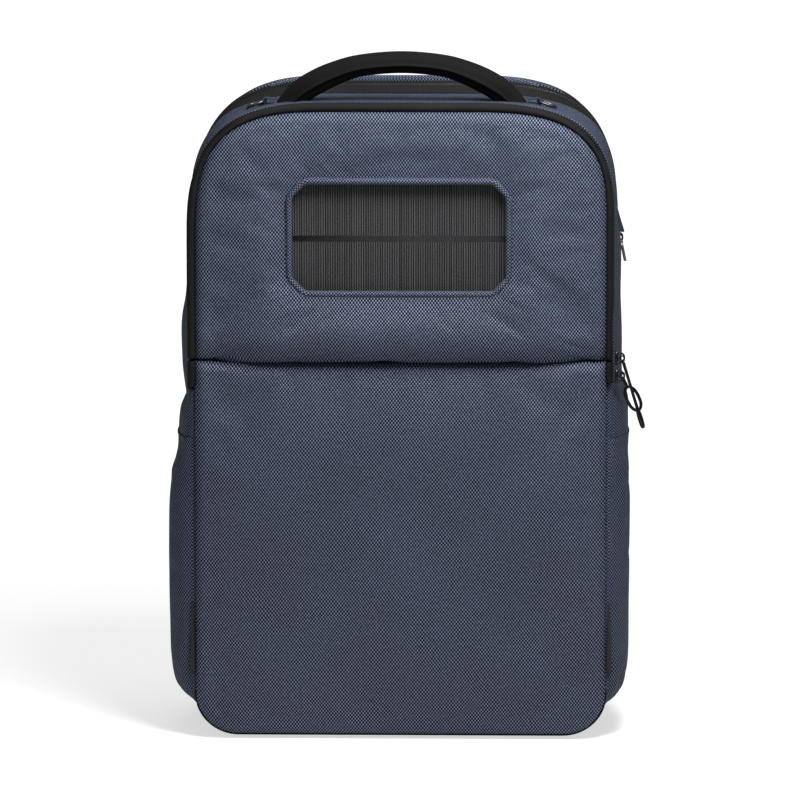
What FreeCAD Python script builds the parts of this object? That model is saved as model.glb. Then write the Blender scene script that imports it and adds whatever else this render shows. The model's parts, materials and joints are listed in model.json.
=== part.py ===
import FreeCAD, Part
import math
import os
import Sketcher
from FreeCAD import Placement, Rotation, Vector

# A soft-sided commuter backpack with a solar panel in the upper front panel.
# Row frame: +Z up, the front faces -Y, +X is to the right when looking at the front.
# The origin is the centre of the flat base, on the ground. Units are millimetres.
#
# The pack is a stack of layers along Y. From the front: the front panels, the main
# zipper, the gusset round the main compartment, the divider, the laptop zipper, the
# gusset round the laptop compartment, the back panel, the back pads and the straps.

DIMENSIONS = [
    # alias, millimetres (or degrees), what it is
    ("fit_gap", 0.2, "gap left between neighbouring pieces"),
    ("crease_z", 271, "height of the crease where the upper front panel folds open"),
    ("zipper_end_z", 245, "height where the main zipper ends on both sides"),
    ("front_y", -84, "front face of the front panels"),
    ("panel_width", 294, "front panels, width"),
    ("panel_top", 444, "front panels, top edge"),
    ("panel_bottom", 3, "front panels, bottom edge"),
    ("panel_thick", 12, "front panels, padded thickness"),
    ("panel_top_radius", 74, "front panels, upper corner radius"),
    ("panel_low_radius", 31, "front panels, lower corner radius"),
    ("panel_edge_round", 6, "rounding of the front panels' front edges"),
    ("lining_thick", 0.8, "lining fabric"),
    ("window_width", 150, "solar window, clear width"),
    ("window_height", 76, "solar window, clear height"),
    ("window_z", 355, "solar window, centre height"),
    ("window_chamfer", 9.5, "solar window, cut corners"),
    ("trim_width", 4, "rolled fabric trim round the window"),
    ("trim_depth", 5, "rolled trim, front to back"),
    ("sheet_thick", 1, "solar front sheet and back sheet"),
    ("cell_thick", 0.4, "solar cells"),
    ("cell_columns", 8, "solar cells in a row"),
    ("cell_gap", 0.5, "gap between solar cells"),
    ("cell_cut", 4, "cut corner of the four outermost solar cells"),
    ("busbar_height", 4.3, "plain strip between the two rows of cells"),
    ("box_width", 60, "solar charge controller, width"),
    ("box_height", 20, "solar charge controller, height"),
    ("box_depth", 9, "solar charge controller, depth"),
    ("box_z", 300, "solar charge controller, centre height"),
    ("sleeve_width", 156, "battery sleeve, width"),
    ("sleeve_height", 92, "battery sleeve, height"),
    ("sleeve_depth", 28, "battery sleeve, depth"),
    ("sleeve_bottom", 318, "battery sleeve, lower edge"),
    ("sleeve_wall", 1.5, "battery sleeve, mesh thickness"),
    ("cable_radius", 1.75, "charging cable"),
    ("cable_bend", 12, "charging cable, radius of its bends"),
    ("plug_width", 16, "cable plug, moulded grip"),
    ("plug_height", 8, "cable plug, moulded grip"),
    ("plug_length", 20, "cable plug, moulded grip"),
    ("plug_shell_width", 12, "cable plug, metal shell"),
    ("plug_shell_height", 4.5, "cable plug, metal shell"),
    ("plug_shell_length", 12, "cable plug, metal shell"),
    ("band_width", 306, "main zipper band, width"),
    ("band_top", 450, "main zipper band, top edge"),
    ("band_radius", 80, "main zipper band, upper corner radius"),
    ("band_wall", 5.6, "main zipper band, visible width"),
    ("band_front_y", -80, "main zipper band, front edge"),
    ("coil_thick", 1.2, "half of the zipper coil, front to back"),
    ("coil_wall", 3.2, "zipper coil, width"),
    ("coil_plane_y", -70, "plane where the two halves of the main zipper meet"),
    ("gusset_width", 314, "gussets, width"),
    ("gusset_top", 448, "main gusset, top"),
    ("gusset_radius", 84, "main gusset, upper corner radius"),
    ("gusset_bottom", 2.2, "gussets, bottom"),
    ("low_radius", 34, "gussets, lower corner radius"),
    ("wall", 3, "gussets, foam-backed fabric"),
    ("gusset_front_y", -66, "main gusset, front edge"),
    ("base_front_y", -71.5, "lower gusset, front edge"),
    ("gusset_back_y", 26, "main gusset, back edge"),
    ("rear_front_y", 34, "laptop gusset, front edge"),
    ("rear_back_y", 64, "laptop gusset, back edge"),
    ("rear_top", 461, "laptop gusset, top"),
    ("rear_radius", 88, "laptop gusset, upper corner radius"),
    ("step_top", 456, "laptop zipper band, top"),
    ("step_radius", 86, "laptop zipper band, upper corner radius"),
    ("step_wall", 5, "laptop zipper band, width"),
    ("step_inset", 4, "laptop zipper band, how far it lies in from the gussets' sides"),
    ("divider_y", 20, "divider, front face"),
    ("divider_thick", 5.8, "divider, padded thickness"),
    ("base_width", 236, "base panel, width"),
    ("base_thick", 2, "base panel, thickness"),
    ("pocket_out", 168, "side pockets, outer face from the centre"),
    ("pocket_front_y", -62, "side pockets, front"),
    ("pocket_back_y", 24, "side pockets, back"),
    ("pocket_bottom", 10, "side pockets, bottom"),
    ("pocket_top", 205, "side pockets, mouth"),
    ("pocket_wall", 2, "side pockets, fabric"),
    ("pocket_round", 7, "side pockets, vertical corner radius"),
    ("insert_bottom", 41, "elastic pocket insert, lower end"),
    ("insert_height", 50, "elastic pocket insert, height"),
    ("insert_width", 3.2, "elastic pocket insert, width"),
    ("insert_depth", 6, "elastic pocket insert, front to back"),
    ("stay_width", 290, "frame sheet, width"),
    ("stay_height", 420, "frame sheet, height"),
    ("stay_thick", 2, "frame sheet, thickness"),
    ("back_thick", 4, "back panel, thickness"),
    ("pad_width", 112, "back pads, width"),
    ("pad_bottom", 80, "back pads, lower edge"),
    ("pad_top", 400, "back pads, upper edge"),
    ("pad_thick", 11.6, "back pads, thickness"),
    ("pad_inner_x", 17, "back pads, distance of the inner edge from the centre"),
    ("pad_radius", 24, "back pads, corner radius"),
    ("yoke_width", 206, "strap yoke, width"),
    ("yoke_bottom", 412, "strap yoke, lower edge"),
    ("yoke_top", 440, "strap yoke, upper edge"),
    ("yoke_thick", 4, "strap yoke, thickness"),
    ("strap_width", 62, "shoulder straps, width"),
    ("strap_thick", 11, "shoulder straps, padded thickness"),
    ("strap_top_x", 62, "shoulder straps, upper end from the centre"),
    ("strap_top_y", 80, "shoulder straps, upper end"),
    ("strap_top_z", 428, "shoulder straps, upper end"),
    ("strap_length", 264, "shoulder straps, chord from end to end"),
    ("strap_lean", 5, "shoulder straps, lean of the chord away from the back, degrees"),
    ("strap_splay", 6.5, "shoulder straps, splay, degrees"),
    ("strap_bow", 22, "shoulder straps, bow away from the back"),
    ("lock_width", 34, "ladder lock, width"),
    ("lock_height", 24, "ladder lock, height below its rod"),
    ("lock_thick", 3.4, "ladder lock, thickness"),
    ("lock_rod_radius", 2, "ladder lock, rod held by the strap's loop"),
    ("lock_side", 4.4, "ladder lock, side bars"),
    ("loop_width", 24, "webbing loop that holds the ladder lock"),
    ("loop_radius", 3.4, "webbing loop, outside round the rod"),
    ("loop_tail", 12, "webbing loop, tail sewn into the strap"),
    ("hinge_clearance", 0.06, "running clearance of rods and pins"),
    ("webbing_width", 20, "strap webbing, width"),
    ("webbing_thick", 1.6, "strap webbing, thickness"),
    ("anchor_x", 128, "webbing anchors, from the centre"),
    ("anchor_z", 38, "webbing anchors, centre height"),
    ("anchor_size", 34, "webbing anchors, side"),
    ("anchor_thick", 2.6, "webbing anchors, thickness"),
    ("handle_y", -40, "top handle, centre"),
    ("handle_z", 458, "top handle, height of the ends of its centre line"),
    ("handle_half", 88, "top handle, half the distance between its ends"),
    ("handle_rise", 19, "top handle, rise of its centre line"),
    ("handle_thick", 12, "top handle, padded thickness"),
    ("handle_width", 28, "top handle, front to back"),
    ("handle_neck", 6, "top handle, width at its ends"),
    ("handle_taper", 30, "top handle, length of the taper at each end"),
    ("handle_edge", 3, "top handle, edge rounding"),
    ("ring_x", 95, "attachment rings, hinge bar from the centre"),
    ("ring_z", 447.6, "attachment rings, hinge bar height"),
    ("ring_tilt", 20, "attachment rings, droop along the shoulder, degrees"),
    ("ring_wire", 1.1, "attachment rings, wire radius"),
    ("ring_reach", 13, "attachment rings, reach from the hinge bar"),
    ("ring_span", 16, "attachment rings, length of the hinge bar"),
    ("slider_height", 12, "zipper sliders, height"),
    ("slider_depth", 10.7, "zipper sliders, front to back"),
    ("laptop_slider_depth", 7.2, "laptop slider, front to back"),
    ("slider_base", 2, "zipper sliders, body thickness"),
    ("slider_gap", 0.3, "zipper sliders, gap to the zipper bands"),
    ("pin_reach", 4.2, "zipper sliders, inner face to pull pin"),
    ("pin_radius", 0.9, "zipper sliders, pull pin"),
    ("lug_thick", 1.1, "zipper sliders, lug thickness"),
    ("lug_height", 4.4, "zipper sliders, lug height"),
    ("lug_past_pin", 1.5, "zipper sliders, how far a lug runs past the pin"),
    ("eye_radius", 1.7, "zipper pulls, eye"),
    ("eye_length", 3.8, "zipper pulls, eye length along the pin"),
    ("upper_slider_z", 271, "upper main slider, pin height at rest"),
    ("lower_slider_z", 258, "lower main slider, pin height at rest"),
    ("main_slider_y", -71.65, "main sliders, centre"),
    ("laptop_slider_z", 346, "laptop slider, pin height at rest"),
    ("laptop_slider_y", 30, "laptop slider, centre"),
    ("long_pull", 50, "upper main pull, length"),
    ("long_pull_tilt", 19, "upper main pull, outward tilt at rest, degrees"),
    ("ring_pull", 28, "lower main pull, length"),
    ("ring_pull_tilt", 25, "lower main pull, outward tilt at rest, degrees"),
    ("ring_pull_width", 10, "lower main pull, width of its ring"),
    ("tab_pull", 20, "laptop pull, length"),
    ("tab_pull_tilt", 12, "laptop pull, outward tilt at rest, degrees"),
    ("garage_bottom", 354, "zipper garage above the laptop slider, lower edge"),
    ("garage_height", 22, "zipper garage, height"),
    ("garage_reach", 8, "zipper garage, how far its lower edge stands out"),
    ("garage_width", 18, "zipper garage, front to back"),
]

doc = FreeCAD.newDocument("solar_backpack")
sheet = doc.addObject("Spreadsheet::Sheet", "dims")
for row, (alias, number, note) in enumerate(DIMENSIONS, start=1):
    sheet.set(f"A{row}", alias)
    sheet.set(f"B{row}", str(number))
    sheet.set(f"C{row}", note)
    sheet.setAlias(f"B{row}", alias)
doc.recompute()

subparts = []
SIDES = (("left", -1), ("right", 1))


# ---------------------------------------------------------------- helpers


def value(expression):
    """The number that an expression over the dims sheet comes to."""
    return float(sheet.evalExpression(str(expression)))


def keep(obj, label):
    """Names obj as a finished sub-part."""
    obj.Label = label
    subparts.append(obj)
    return obj


def bind(obj, **expressions):
    """Binds properties to the sheet; x, y and z bind the placement."""
    for name, expression in expressions.items():
        target = f"Placement.Base.{name}" if name in ("x", "y", "z") else name
        obj.setExpression(target, str(expression))
    return obj


def lock_point(sketch, geometry, position, x, y):
    """Holds a point of a sketch at two expressions."""
    for kind, expression in (("DistanceX", x), ("DistanceY", y)):
        index = sketch.addConstraint(
            Sketcher.Constraint(kind, -1, 1, geometry, position, value(expression))
        )
        sketch.setExpression(f"Constraints[{index}]", str(expression))


def add_loop(sketch, corners):
    """Adds a closed outline. Each corner is (x, y, radius), radius None where it is sharp."""
    count = len(corners)
    points = [Vector(value(x), value(y), 0) for x, y, _ in corners]
    enter, leave, ends = [], [], []
    for i, (x, y, radius) in enumerate(corners):
        if radius is None:
            enter.append(points[i])
            leave.append(points[i])
            ends.append(None)
            continue
        back = (points[i - 1] - points[i]).normalize()
        ahead = (points[(i + 1) % count] - points[i]).normalize()
        r = value(radius)
        centre = points[i] + (back + ahead) * r
        turn_left = back.cross(ahead).z < 0
        enter.append(points[i] + back * r)
        leave.append(points[i] + ahead * r)
        first, last = (enter[i], leave[i]) if turn_left else (leave[i], enter[i])
        angles = [math.atan2(p.y - centre.y, p.x - centre.x) for p in (first, last)]
        circle = Part.Circle(centre, Vector(0, 0, 1), r)
        arc = sketch.addGeometry(Part.ArcOfCircle(circle, *angles), False)
        index = sketch.addConstraint(Sketcher.Constraint("Radius", arc, r))
        sketch.setExpression(f"Constraints[{index}]", str(radius))
        shift = back + ahead
        lock_point(
            sketch,
            arc,
            3,
            f"({x}) + {round(shift.x)} * ({radius})",
            f"({y}) + {round(shift.y)} * ({radius})",
        )
        ends.append((arc, 1 if turn_left else 2, 2 if turn_left else 1))
    lines = []
    for i in range(count):
        segment = Part.LineSegment(leave[i], enter[(i + 1) % count])
        lines.append(sketch.addGeometry(segment, False))
    for i, (x, y, _) in enumerate(corners):
        before, after = lines[i - 1], lines[i]
        if ends[i] is None:
            sketch.addConstraint(Sketcher.Constraint("Coincident", before, 2, after, 1))
            lock_point(sketch, after, 1, x, y)
        else:
            arc, arc_in, arc_out = ends[i]
            sketch.addConstraint(Sketcher.Constraint("Tangent", before, 2, arc, arc_in))
            sketch.addConstraint(Sketcher.Constraint("Tangent", after, 1, arc, arc_out))


def add_arc_band(sketch, centre, radius, thick, first, last):
    """Adds a band between two concentric arcs; centre, mid radius and angles are expressions."""
    cx, cy = centre
    arcs = []
    for sign in (1, -1):
        arc_radius = f"({radius}) + {sign} * ({thick}) / 2"
        circle = Part.Circle(
            Vector(value(cx), value(cy), 0), Vector(0, 0, 1), value(arc_radius)
        )
        angles = [math.radians(value(a)) for a in (first, last)]
        arc = sketch.addGeometry(Part.ArcOfCircle(circle, *angles), False)
        index = sketch.addConstraint(
            Sketcher.Constraint("Radius", arc, value(arc_radius))
        )
        sketch.setExpression(f"Constraints[{index}]", arc_radius)
        lock_point(sketch, arc, 3, cx, cy)
        for position, angle in ((1, first), (2, last)):
            steep = abs(math.sin(math.radians(value(angle)))) > 0.7
            kind = "DistanceX" if steep else "DistanceY"
            trig, base = ("cos", cx) if steep else ("sin", cy)
            place = f"({base}) + ({arc_radius}) * {trig}(({angle}) * 1 deg)"
            index = sketch.addConstraint(
                Sketcher.Constraint(kind, -1, 1, arc, position, value(place))
            )
            sketch.setExpression(f"Constraints[{index}]", place)
        arcs.append(arc)
    for position in (1, 2):
        ends = [sketch.getPoint(arc, position) for arc in arcs]
        line = sketch.addGeometry(Part.LineSegment(*ends), False)
        for arc, line_end in zip(arcs, (1, 2)):
            sketch.addConstraint(
                Sketcher.Constraint("Coincident", line, line_end, arc, position)
            )


def new_body(name, plane_role):
    """An empty body with a sketch on one of its origin planes."""
    body = doc.addObject("PartDesign::Body", name)
    plane = next(o for o in body.Origin.OriginFeatures if o.Role == plane_role)
    sketch = body.newObject("Sketcher::SketchObject", f"{name}_sketch")
    sketch.AttachmentSupport = [(plane, "")]
    sketch.MapMode = "FlatFace"
    return body, sketch


def pad_sketch(body, sketch, plane_role, start, depth):
    """Pads a sketch by depth in the positive direction of its axis, from start."""
    pad = body.newObject("PartDesign::Pad", f"{body.Name}_pad")
    pad.Profile = sketch
    pad.Reversed = plane_role == "XZ_Plane"
    pad.setExpression("Length", str(depth))
    axis = {"XZ_Plane": "y", "YZ_Plane": "x", "XY_Plane": "z"}[plane_role]
    bind(body, **{axis: start})
    return body


def prism(name, loops, start, depth, plane_role="XZ_Plane"):
    """A body padded from one or more closed outlines; the inner outlines are holes."""
    body, sketch = new_body(name, plane_role)
    for corners in loops:
        add_loop(sketch, corners)
    return pad_sketch(body, sketch, plane_role, start, depth)


def outline(width, bottom, top, low_radius, top_radius):
    """A rectangle centred on the first axis, with its own lower and upper corner radii."""
    half = f"({width}) / 2"
    return [
        (f"-({half})", bottom, low_radius),
        (half, bottom, low_radius),
        (half, top, top_radius),
        (f"-({half})", top, top_radius),
    ]


def block(x_low, x_high, z_low, z_high, radius=None):
    """A rectangle between four expressions."""
    return [
        (x_low, z_low, radius),
        (x_high, z_low, radius),
        (x_high, z_high, radius),
        (x_low, z_high, radius),
    ]


def cut_corner(corners, side, end, cut):
    """Cuts one corner of a block: the one at its side (-1 or 1) and end (-1 or 1)."""
    index = {(-1, -1): 0, (1, -1): 1, (1, 1): 2, (-1, 1): 3}[(side, end)]
    x, z, _ = corners[index]
    along = (f"({x}) - {side} * ({cut})", z, None)
    upright = (x, f"({z}) - {end} * ({cut})", None)
    pair = [upright, along] if index in (0, 2) else [along, upright]
    return corners[:index] + pair + corners[index + 1 :]


def octagon(width, height, centre, chamfer):
    """A rectangle with cut corners, centred at x = 0 and z = centre."""
    half, tall = f"({width}) / 2", f"({height}) / 2"
    inner, low = f"({half} - ({chamfer}))", f"({tall} - ({chamfer}))"
    signs = [(1, -1), (1, 1), (-1, 1), (-1, -1)]
    corners = []
    for i, (sx, sz) in enumerate(signs):
        side = (f"{sx} * {half}", f"{centre} + {sz} * {low}", None)
        end = (f"{sx} * {inner}", f"{centre} + {sz} * {tall}", None)
        corners += [end, side] if i % 2 == 0 else [side, end]
    return corners


def arch(width, top, radius, wall, foot):
    """An upside-down U: the upper part of a ring, cut off level at foot."""
    half = f"({width}) / 2"
    inner = f"({half} - ({wall}))"
    inner_top = f"({top}) - ({wall})"
    inner_radius = f"({radius}) - ({wall})"
    return [
        (f"-{inner}", foot, None),
        (f"-{inner}", inner_top, inner_radius),
        (inner, inner_top, inner_radius),
        (inner, foot, None),
        (half, foot, None),
        (half, top, radius),
        (f"-({half})", top, radius),
        (f"-({half})", foot, None),
    ]


def trough(width, bottom, radius, wall, rim):
    """A U: the lower part of a ring, cut off level at rim."""
    half = f"({width}) / 2"
    inner = f"({half} - ({wall}))"
    inner_bottom = f"({bottom}) + ({wall})"
    inner_radius = f"({radius}) - ({wall})"
    return [
        (f"-({half})", rim, None),
        (f"-({half})", bottom, radius),
        (half, bottom, radius),
        (half, rim, None),
        (inner, rim, None),
        (inner, inner_bottom, inner_radius),
        (f"-{inner}", inner_bottom, inner_radius),
        (f"-{inner}", rim, None),
    ]


def ring(width, bottom, top, low_radius, top_radius, wall):
    """The outer and inner outlines of a closed band of even width."""
    return [
        outline(width, bottom, top, low_radius, top_radius),
        outline(
            f"({width}) - 2 * ({wall})",
            f"({bottom}) + ({wall})",
            f"({top}) - ({wall})",
            f"({low_radius}) - ({wall})",
            f"({top_radius}) - ({wall})",
        ),
    ]


def round_edges(body, radius, choose):
    """Rounds the edges of a body that choose(edge) accepts."""
    doc.recompute()
    base = body.Tip
    names = [f"Edge{i}" for i, e in enumerate(base.Shape.Edges, 1) if choose(e)]
    fillet = body.newObject("PartDesign::Fillet", f"{body.Name}_fillet")
    fillet.Base = (base, names)
    fillet.setExpression("Radius", str(radius))
    return body


def box(name, x, y, z, dx, dy, dz):
    """A Part box from its lowest corner and its sizes, all expressions."""
    solid = doc.addObject("Part::Box", name)
    return bind(solid, x=x, y=y, z=z, Length=dx, Width=dy, Height=dz)


def rod(name, radius, length, direction, x, y, z):
    """A Part cylinder that starts at a point and runs along +X or +Y."""
    solid = doc.addObject("Part::Cylinder", name)
    turn = {"x": Rotation(Vector(0, 1, 0), 90), "y": Rotation(Vector(1, 0, 0), -90)}
    solid.Placement = Placement(Vector(), turn[direction])
    return bind(solid, x=x, y=y, z=z, Radius=radius, Height=length)


def boolean(kind, name, *shapes):
    """A Part Cut or Common of two shapes, or a MultiFuse of several."""
    solid = doc.addObject(f"Part::{kind}", name)
    if kind == "MultiFuse":
        solid.Shapes = list(shapes)
    else:
        solid.Base, solid.Tool = shapes
    return solid


# ---------------------------------------------------------------- front panels


def front_panels():
    """The padded upper panel with the window opening, the lower panel and their linings."""
    width, top_radius = "dims.panel_width", "dims.panel_top_radius"
    low, high = "dims.crease_z - dims.fit_gap", "dims.crease_z + dims.fit_gap"
    hole = octagon(
        "dims.window_width + 2 * dims.trim_width",
        "dims.window_height + 2 * dims.trim_width",
        "dims.window_z",
        "dims.window_chamfer + dims.trim_width * 0.586",
    )
    window_low = value("dims.window_z - dims.window_height / 2 - dims.trim_width")
    window_high = value("dims.window_z + dims.window_height / 2 + dims.trim_width")

    def outer_front_edge(edge):
        bounds = edge.BoundBox
        on_face = max(abs(bounds.YMin), abs(bounds.YMax)) < 1e-4
        in_window = bounds.ZMin > window_low - 1 and bounds.ZMax < window_high + 1
        return on_face and not in_window

    upper = prism(
        "upper_front_panel",
        [outline(width, high, "dims.panel_top", None, top_radius), hole],
        "dims.front_y",
        "dims.panel_thick",
    )
    keep(
        round_edges(upper, "dims.panel_edge_round", outer_front_edge),
        "upper_front_panel",
    )
    lower = prism(
        "lower_front_panel",
        [outline(width, "dims.panel_bottom", low, "dims.panel_low_radius", None)],
        "dims.front_y",
        "dims.panel_thick",
    )
    keep(
        round_edges(lower, "dims.panel_edge_round", outer_front_edge),
        "lower_front_panel",
    )

    lining_y = "dims.front_y + dims.panel_thick + dims.fit_gap"
    lining_width = "dims.panel_width - 2"
    keep(
        prism(
            "upper_front_lining",
            [
                outline(
                    lining_width, high, "dims.panel_top - 1", None, "dims.band_radius"
                )
            ],
            lining_y,
            "dims.lining_thick",
        ),
        "upper_front_lining",
    )
    keep(
        prism(
            "lower_front_lining",
            [
                outline(
                    lining_width,
                    "dims.panel_bottom + 4",
                    low,
                    "dims.panel_low_radius",
                    None,
                )
            ],
            lining_y,
            "dims.lining_thick",
        ),
        "lower_front_lining",
    )


# ---------------------------------------------------------------- solar panel


def solar_panel():
    """The rolled window trim and, behind it, the front sheet, cells, busbar and back sheet."""
    outer_width = "dims.window_width + 2 * dims.trim_width - 2 * dims.fit_gap"
    outer_height = "dims.window_height + 2 * dims.trim_width - 2 * dims.fit_gap"
    outer_cut = "dims.window_chamfer + dims.trim_width * 0.586"
    trim = prism(
        "window_trim",
        [
            octagon(outer_width, outer_height, "dims.window_z", outer_cut),
            octagon(
                "dims.window_width",
                "dims.window_height",
                "dims.window_z",
                "dims.window_chamfer",
            ),
        ],
        "dims.front_y - 0.5",
        "dims.trim_depth",
    )
    keep(trim, "window_trim")

    sheet_loop = octagon(outer_width, outer_height, "dims.window_z", outer_cut)
    front_sheet_y = "dims.front_y - 0.5 + dims.trim_depth + dims.fit_gap"
    cell_y = f"{front_sheet_y} + dims.sheet_thick + dims.fit_gap"
    back_sheet_y = f"{cell_y} + dims.cell_thick + dims.fit_gap"
    keep(
        prism("solar_front_sheet", [sheet_loop], front_sheet_y, "dims.sheet_thick"),
        "solar_front_sheet",
    )
    keep(
        prism("solar_back_sheet", [sheet_loop], back_sheet_y, "dims.sheet_thick"),
        "solar_back_sheet",
    )

    pitch = "((dims.window_width - 2 * dims.cell_gap) / dims.cell_columns)"
    loops = []
    last_column = int(value("dims.cell_columns")) - 1
    for column in range(last_column + 1):
        left = f"-dims.window_width / 2 + dims.cell_gap + {column} * {pitch}"
        right = f"{left} + {pitch} - dims.cell_gap"
        for sign in (-1, 1):
            inner = f"dims.window_z + {sign} * (dims.busbar_height / 2 + dims.cell_gap)"
            outer = (
                f"dims.window_z + {sign} * (dims.window_height / 2 - dims.cell_gap)"
            )
            low, high = (outer, inner) if sign < 0 else (inner, outer)
            corners = block(left, right, low, high)
            if column in (0, last_column):
                side = -1 if column == 0 else 1
                corners = cut_corner(corners, side, sign, "dims.cell_cut")
            loops.append(corners)
    keep(prism("solar_cells", loops, cell_y, "dims.cell_thick"), "solar_cells")
    keep(
        prism(
            "cell_busbar",
            [
                block(
                    "-dims.window_width / 2",
                    "dims.window_width / 2",
                    "dims.window_z - dims.busbar_height / 2",
                    "dims.window_z + dims.busbar_height / 2",
                )
            ],
            cell_y,
            "dims.cell_thick",
        ),
        "cell_busbar",
    )


def charging_parts():
    """Behind the lining: charge controller, battery sleeve, cable and plug."""
    inside_y = (
        "dims.front_y + dims.panel_thick + dims.lining_thick + 2 * dims.fit_gap"
    )
    controller = prism(
        "charge_controller",
        [
            block(
                "-dims.box_width / 2",
                "dims.box_width / 2",
                "dims.box_z - dims.box_height / 2",
                "dims.box_z + dims.box_height / 2",
                3,
            )
        ],
        inside_y,
        "dims.box_depth",
    )
    keep(controller, "charge_controller")

    sleeve = box(
        "sleeve_outside",
        "-dims.sleeve_width / 2",
        inside_y,
        "dims.sleeve_bottom",
        "dims.sleeve_width",
        "dims.sleeve_depth",
        "dims.sleeve_height",
    )
    hollow = box(
        "sleeve_hollow",
        "-dims.sleeve_width / 2 + dims.sleeve_wall",
        f"{inside_y} + dims.sleeve_wall",
        "dims.sleeve_bottom + dims.sleeve_wall",
        "dims.sleeve_width - 2 * dims.sleeve_wall",
        "dims.sleeve_depth - 2 * dims.sleeve_wall",
        "dims.sleeve_height",
    )
    keep(boolean("Cut", "battery_sleeve", sleeve, hollow), "battery_sleeve")

    # The cable leaves the controller's right end, climbs beside the sleeve and turns in
    # over its mouth to the plug.
    cable_y = value(f"{inside_y} + dims.box_depth / 2")
    radius = value("dims.cable_radius")
    bend = value("dims.cable_bend")
    beside = value("dims.sleeve_width / 2") + 8
    low = value("dims.box_z")
    plug_z = value("dims.sleeve_bottom + dims.sleeve_height + dims.plug_height / 2 + 3")
    plug_x = value("dims.sleeve_width / 4")
    start = Vector(value("dims.box_width / 2 + dims.fit_gap"), cable_y, low)
    end = Vector(plug_x + value("dims.plug_length + dims.fit_gap"), cable_y, plug_z)
    diagonal = bend * math.sqrt(0.5)
    corners = [
        Vector(beside - bend, cable_y, low),
        Vector(beside - bend + diagonal, cable_y, low + bend - diagonal),
        Vector(beside, cable_y, low + bend),
        Vector(beside, cable_y, plug_z - bend),
        Vector(beside - bend + diagonal, cable_y, plug_z - bend + diagonal),
        Vector(beside - bend, cable_y, plug_z),
    ]
    edges = [
        Part.LineSegment(start, corners[0]),
        Part.Arc(*corners[0:3]),
        Part.LineSegment(corners[2], corners[3]),
        Part.Arc(*corners[3:6]),
        Part.LineSegment(corners[5], end),
    ]
    spine = Part.Wire([edge.toShape() for edge in edges])
    section = Part.Wire(Part.makeCircle(radius, start, Vector(1, 0, 0)))
    cable = doc.addObject("Part::Feature", "charging_cable")
    cable.Shape = spine.makePipeShell([section], True, False)
    keep(cable, "charging_cable")

    half_height = "dims.plug_height / 2"
    grip = box(
        "plug_grip",
        plug_x,
        f"{cable_y} - dims.plug_height / 2",
        f"{plug_z} - {half_height}",
        "dims.plug_length",
        "dims.plug_height",
        "dims.plug_height",
    )
    shell = box(
        "plug_shell",
        f"{plug_x} - dims.plug_shell_length",
        f"{cable_y} - dims.plug_shell_height / 2",
        f"{plug_z} - dims.plug_shell_height / 2",
        "dims.plug_shell_length",
        "dims.plug_shell_height",
        "dims.plug_shell_height",
    )
    keep(boolean("MultiFuse", "cable_plug", grip, shell), "cable_plug")


# ---------------------------------------------------------------- zippers and gussets


def main_zipper():
    """The black band round the front: tape and half coil on the lid, the same on the pack."""
    coil_front = "dims.coil_plane_y - dims.fit_gap / 2 - dims.coil_thick"
    coil_back = "dims.coil_plane_y + dims.fit_gap / 2"
    lid_foot = "dims.crease_z + dims.fit_gap"
    band = ("dims.band_width", "dims.band_top", "dims.band_radius")
    tape_depth = f"{coil_front} - dims.fit_gap - dims.band_front_y"
    keep(
        prism(
            "lid_zipper_tape",
            [arch(*band, "dims.band_wall", lid_foot)],
            "dims.band_front_y",
            tape_depth,
        ),
        "lid_zipper_tape",
    )
    keep(
        prism(
            "lid_zipper_coil",
            [arch(*band, "dims.coil_wall", lid_foot)],
            coil_front,
            "dims.coil_thick",
        ),
        "lid_zipper_coil",
    )
    keep(
        prism(
            "pack_zipper_coil",
            [arch(*band, "dims.coil_wall", "dims.zipper_end_z")],
            coil_back,
            "dims.coil_thick",
        ),
        "pack_zipper_coil",
    )
    tape_start = f"{coil_back} + dims.coil_thick + dims.fit_gap"
    keep(
        prism(
            "pack_zipper_tape",
            [arch(*band, "dims.band_wall", "dims.zipper_end_z")],
            tape_start,
            f"dims.gusset_front_y - dims.fit_gap - ({tape_start})",
        ),
        "pack_zipper_tape",
    )
    # Below the crease the band carries on for a short way, sewn to the pack.
    half = "dims.band_width / 2"
    loops = []
    for _, side in SIDES:
        inner, outer = f"{side} * ({half} - dims.band_wall)", f"{side} * {half}"
        low, high = (outer, inner) if side < 0 else (inner, outer)
        loops.append(
            block(low, high, "dims.zipper_end_z", "dims.crease_z - dims.fit_gap")
        )
    keep(
        prism(
            "zipper_end_tapes",
            loops,
            "dims.band_front_y",
            f"{coil_back} - 2 * dims.fit_gap - dims.band_front_y",
        ),
        "zipper_end_tapes",
    )


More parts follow.
